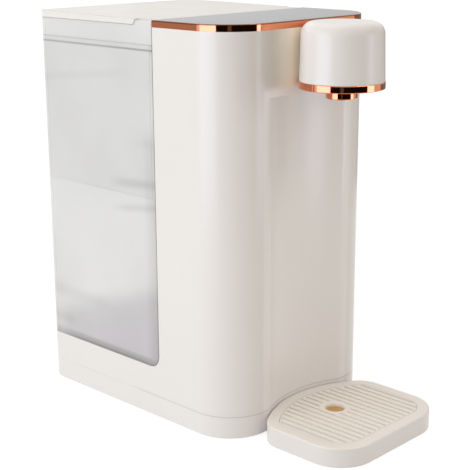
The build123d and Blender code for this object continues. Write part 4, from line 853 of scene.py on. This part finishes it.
class DISPENSER_OT_screws(bpy.types.Operator):
    """Make the base screws with cross-slotted heads and ridged shanks"""
    bl_idname = "dispenser.screws"
    bl_label = "Screws"
    HEAD_HEIGHT = 0.0022
    HEAD_EDGE = 0.0006
    NECK = 0.001
    POINT = 0.0015
    THREAD_PITCH = 0.0008
    THREAD_DEPTH = 0.0002
    SLOT_DEPTH = 0.0011
    STEPS = 24

    def execute(self, context):
        sizes = context.scene.dispenser_fittings
        low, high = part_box("base_screws")
        steel = drawn_metal("screw_steel", (0.58, 0.58, 0.59), 0.3)
        mesh = self.screw(sizes.screw_head, sizes.screw_shank, high.z - low.z)
        screws = at_corners("cross_screws", mesh, low, high, sizes.screw_head, turn=0.9, finish=steel)
        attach(screws, "housing")
        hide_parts("base_screws")
        return {"FINISHED"}

    def screw(self, head, shank, length):
        """One screw that points up, with its head at the bottom."""
        core = shank - self.THREAD_DEPTH
        mouth = head - self.HEAD_EDGE
        profile = [(mouth, 0.0), (head - 0.0002, 0.0002), (head, self.HEAD_EDGE), (head, self.HEAD_HEIGHT - 0.0001),
                   (head - 0.0001, self.HEAD_HEIGHT), (shank, self.HEAD_HEIGHT)]
        height = self.HEAD_HEIGHT + self.NECK
        while height < length - self.POINT:
            profile += [(core, height), (shank, height + self.THREAD_PITCH / 2)]
            height += self.THREAD_PITCH
        profile += [(core, height), (0, length)]
        mesh = turned_mesh("screw_mould", profile, self.STEPS)
        shape = bmesh.new()
        shape.from_mesh(mesh)
        rim = [v for v in shape.verts if abs(v.co.z) < 1e-7]
        rim.sort(key=lambda v: math.atan2(v.co.y, v.co.x))
        self.cross_slot(shape, rim, mouth)
        bmesh.ops.recalc_face_normals(shape, faces=shape.faces)
        shape.to_mesh(mesh)
        shape.free()
        return mesh

    def cross_slot(self, shape, rim, radius):
        """Closes the head with a face that has a cross-shaped recess."""
        arm, half = radius * 0.72, radius * 0.17
        outline = [(arm, -half), (arm, half), (half, half), (half, arm), (-half, arm), (-half, half), (-arm, half),
                   (-arm, -half), (-half, -half), (-half, -arm), (half, -arm), (half, -half)]
        mouth = [shape.verts.new((x, y, 0)) for x, y in outline]
        floor = [shape.verts.new((x * 0.8, y * 0.8, self.SLOT_DEPTH)) for x, y in outline]
        for index, corner in enumerate(mouth):
            after = (index + 1) % len(mouth)
            shape.faces.new((corner, mouth[after], floor[after], floor[index]))
        shape.faces.new(floor)
        edges = [shape.edges.get(ends) for loop in (mouth, rim) for ends in zip(loop, loop[1:] + loop[:1])]
        bmesh.ops.triangle_fill(shape, edges=edges, use_beauty=True)


class DISPENSER_OT_studio(bpy.types.Operator):
    """Set up the floor, the lamps, the cards, the room and the camera"""
    bl_idname = "dispenser.studio"
    bl_label = "Studio"
    CARD_DISTANCE = 0.8
    CARD_HEIGHT = 0.45
    CARD_STEPS = 12
    # Start, end and brightness of each card round the object, in degrees from the front towards the tank's side,
    # and the last card's brightness at its far end
    CARDS = ((-110, -62, 0.24), (-62, -36, 0.86), (-36, -16, 3.0), (-16, 42, 0.008), (42, 50, 0.12), (50, 75, 0.008),
             (75, 113, 3.0), (113, 121, 1.2), (121, 165, 0.46), (215, 245, 0.93, 0.76))
    # The brightest cards are a cool white, which shows pale in the copper
    COOL = (0.95, 0.97, 1.32, 1)
    # Place and size of the lamps, and what they shine at
    SIDE_LAMP = (Vector((-1.5, 0.55, 0.75)), 1.5)
    FRONT_LAMP = (Vector((0.8, -1.0, 1.9)), 1.0)
    LAMP_AIM = Vector((0, 0, 0.15))
    # Tone of the floor's paper, and how much darker it is and how strongly it shines where it is seen
    PAPER = (0.86, 0.90)
    SEEN_DARKER = 0.58
    SEEN_SHINE = 0.80

    def execute(self, context):
        look = context.scene.dispenser_stage
        self.floor(look.floor_reach)
        self.lamp("side_lamp", *self.SIDE_LAMP, look.key_power, tuple(look.key_colour))
        self.lamp("front_lamp", *self.FRONT_LAMP, look.fill_power, tuple(look.fill_colour))
        self.room(look.sky, tuple(look.sky_colour))
        for number, (start, stop, *levels) in enumerate(self.CARDS):
            self.card("studio_card_%d" % number, math.radians(start), math.radians(stop), levels)
        self.camera()
        context.scene.view_settings.view_transform = "Standard"
        return {"FINISHED"}

    @staticmethod
    def seen(tree):
        """1 for what the camera, a mirror or the clear tank sees, 0 for light that falls on things."""
        path = tree.nodes.new("ShaderNodeLightPath")
        shown = maths(tree, "MAXIMUM", path.outputs["Is Camera Ray"], path.outputs["Is Glossy Ray"])
        return maths(tree, "MAXIMUM", shown, path.outputs["Is Transmission Ray"])

    def floor(self, reach):
        corners = [(-reach, -reach, 0), (reach, -reach, 0), (reach, reach, 0), (-reach, reach, 0)]
        mesh = plain_mesh("floor", corners, faces=[(0, 1, 2, 3)])
        floor = add_object("floor", mesh)
        material, tree, shader = new_material("floor_paper")
        shown = self.seen(tree)
        paper = ramp(tree, noise(tree, 3.0), 0.0, 1.0, *self.PAPER)
        tone = maths(tree, "SUBTRACT", paper, product(tree, shown, self.SEEN_DARKER))
        tree.links.new(tone, shader.inputs["Base Color"])
        set_input(shader, "Roughness", 0.9)
        set_input(shader, "Specular IOR Level", 0.1)
        set_input(shader, "Emission Color", (1, 1, 1, 1))
        tree.links.new(product(tree, shown, self.SEEN_SHINE), shader.inputs["Emission Strength"])
        mesh.materials.append(material)

    def card(self, name, start, stop, levels):
        """A curved card that only mirrors see, at one brightness or from one brightness to another."""
        points = []
        for step in range(self.CARD_STEPS + 1):
            angle = start + (stop - start) * step / self.CARD_STEPS
            x, y = -self.CARD_DISTANCE * math.sin(angle), -self.CARD_DISTANCE * math.cos(angle)
            points += [(x, y, 0.0), (x, y, self.CARD_HEIGHT)]
        faces = [(2 * i, 2 * i + 2, 2 * i + 3, 2 * i + 1) for i in range(self.CARD_STEPS)]
        mesh = plain_mesh(name, points, faces=faces)
        card = add_object(name, mesh)
        material, tree, shader = new_material(name)
        set_input(shader, "Base Color", (0, 0, 0, 1))
        set_input(shader, "Specular IOR Level", 0.0)
        set_input(shader, "Emission Color", self.COOL if levels[0] > 1 else (1, 1, 1, 1))
        set_input(shader, "Emission Strength", levels[0])
        if levels[1:]:
            across, along, _ = object_place(tree)
            angle = maths(tree, "ARCTAN2", across, along)
            turned = ramp(tree, angle, stop - math.pi, start - math.pi, levels[1] / levels[0], 1.0)
            tree.links.new(dim(tree, (1, 1, 1), turned), shader.inputs["Emission Color"])
        mesh.materials.append(material)
        card.visible_camera = card.visible_diffuse = card.visible_transmission = card.visible_shadow = False

    def lamp(self, name, place, size, power, colour):
        data = bpy.data.lights.new(name, "AREA")
        data.shape = "SQUARE"
        data.size = size
        data.energy = power
        data.color = colour
        lamp = add_object(name, data)
        lamp.location = place
        lamp.rotation_euler = (self.LAMP_AIM - place).to_track_quat("-Z", "Y").to_euler()

    def room(self, strength, colour):
        world = bpy.data.worlds.new("studio_room")
        bpy.context.scene.world = world
        world.use_nodes = True
        tree = world.node_tree
        background = tree.nodes["Background"]
        shown = self.seen(tree)
        tree.links.new(blend_colour(tree, shown, (*colour, 1), (1, 1, 1, 1)), background.inputs["Color"])
        tree.links.new(ramp(tree, shown, 0.0, 1.0, strength, 1.0), background.inputs["Strength"])

    def camera(self):
        data = bpy.data.cameras.new("photo_camera")
        data.sensor_width = CAMERA_SENSOR
        data.lens = CAMERA_LENS
        data.clip_start = 0.01
        camera = add_object("photo_camera", data)
        azimuth, height = CAMERA_AZIMUTH, CAMERA_HEIGHT
        back = Vector((math.sin(azimuth) * math.cos(height), -math.cos(azimuth) * math.cos(height), math.sin(height)))
        level = Vector((0, 0, 1)).cross(back).normalized()
        up = back.cross(level)
        right = level * math.cos(CAMERA_ROLL) + up * math.sin(CAMERA_ROLL)
        up = up * math.cos(CAMERA_ROLL) - level * math.sin(CAMERA_ROLL)
        turn = Matrix((right, up, back)).transposed().to_4x4()
        camera.matrix_world = Matrix.Translation(CAMERA_PLACE) @ turn
        bpy.context.scene.camera = camera


PIECES = (
    DISPENSER_OT_white_mouldings,
    DISPENSER_OT_copper_bands,
    DISPENSER_OT_glass_top,
    DISPENSER_OT_tank,
    DISPENSER_OT_inner_parts,
    DISPENSER_OT_feet,
    DISPENSER_OT_screws,
    DISPENSER_OT_studio,
)


class DISPENSER_PT_pieces(bpy.types.Panel):
    """Lists the settings and the pieces of the dispenser"""
    bl_label = "Dispenser"
    bl_idname = "DISPENSER_PT_pieces"
    bl_space_type = "VIEW_3D"
    bl_region_type = "UI"
    bl_category = "Dispenser"

    def draw(self, context):
        scene = context.scene
        for settings in (scene.dispenser_finishes, scene.dispenser_fittings, scene.dispenser_stage):
            for name in settings.__annotations__:
                self.layout.prop(settings, name)
        for piece in PIECES:
            self.layout.operator(piece.bl_idname)


CLASSES = (DispenserFinishes, DispenserFittings, DispenserStage, *PIECES, DISPENSER_PT_pieces)


def register():
    for item in CLASSES:
        bpy.utils.register_class(item)
    bpy.types.Scene.dispenser_finishes = PointerProperty(type=DispenserFinishes)
    bpy.types.Scene.dispenser_fittings = PointerProperty(type=DispenserFittings)
    bpy.types.Scene.dispenser_stage = PointerProperty(type=DispenserStage)


def unregister():
    del bpy.types.Scene.dispenser_stage
    del bpy.types.Scene.dispenser_fittings
    del bpy.types.Scene.dispenser_finishes
    for item in reversed(CLASSES):
        bpy.utils.unregister_class(item)


def main():
    """Makes every piece in order."""
    register()
    for piece in PIECES:
        group, name = piece.bl_idname.split(".")
        getattr(getattr(bpy.ops, group), name)()


if __name__ == "__main__":
    main()
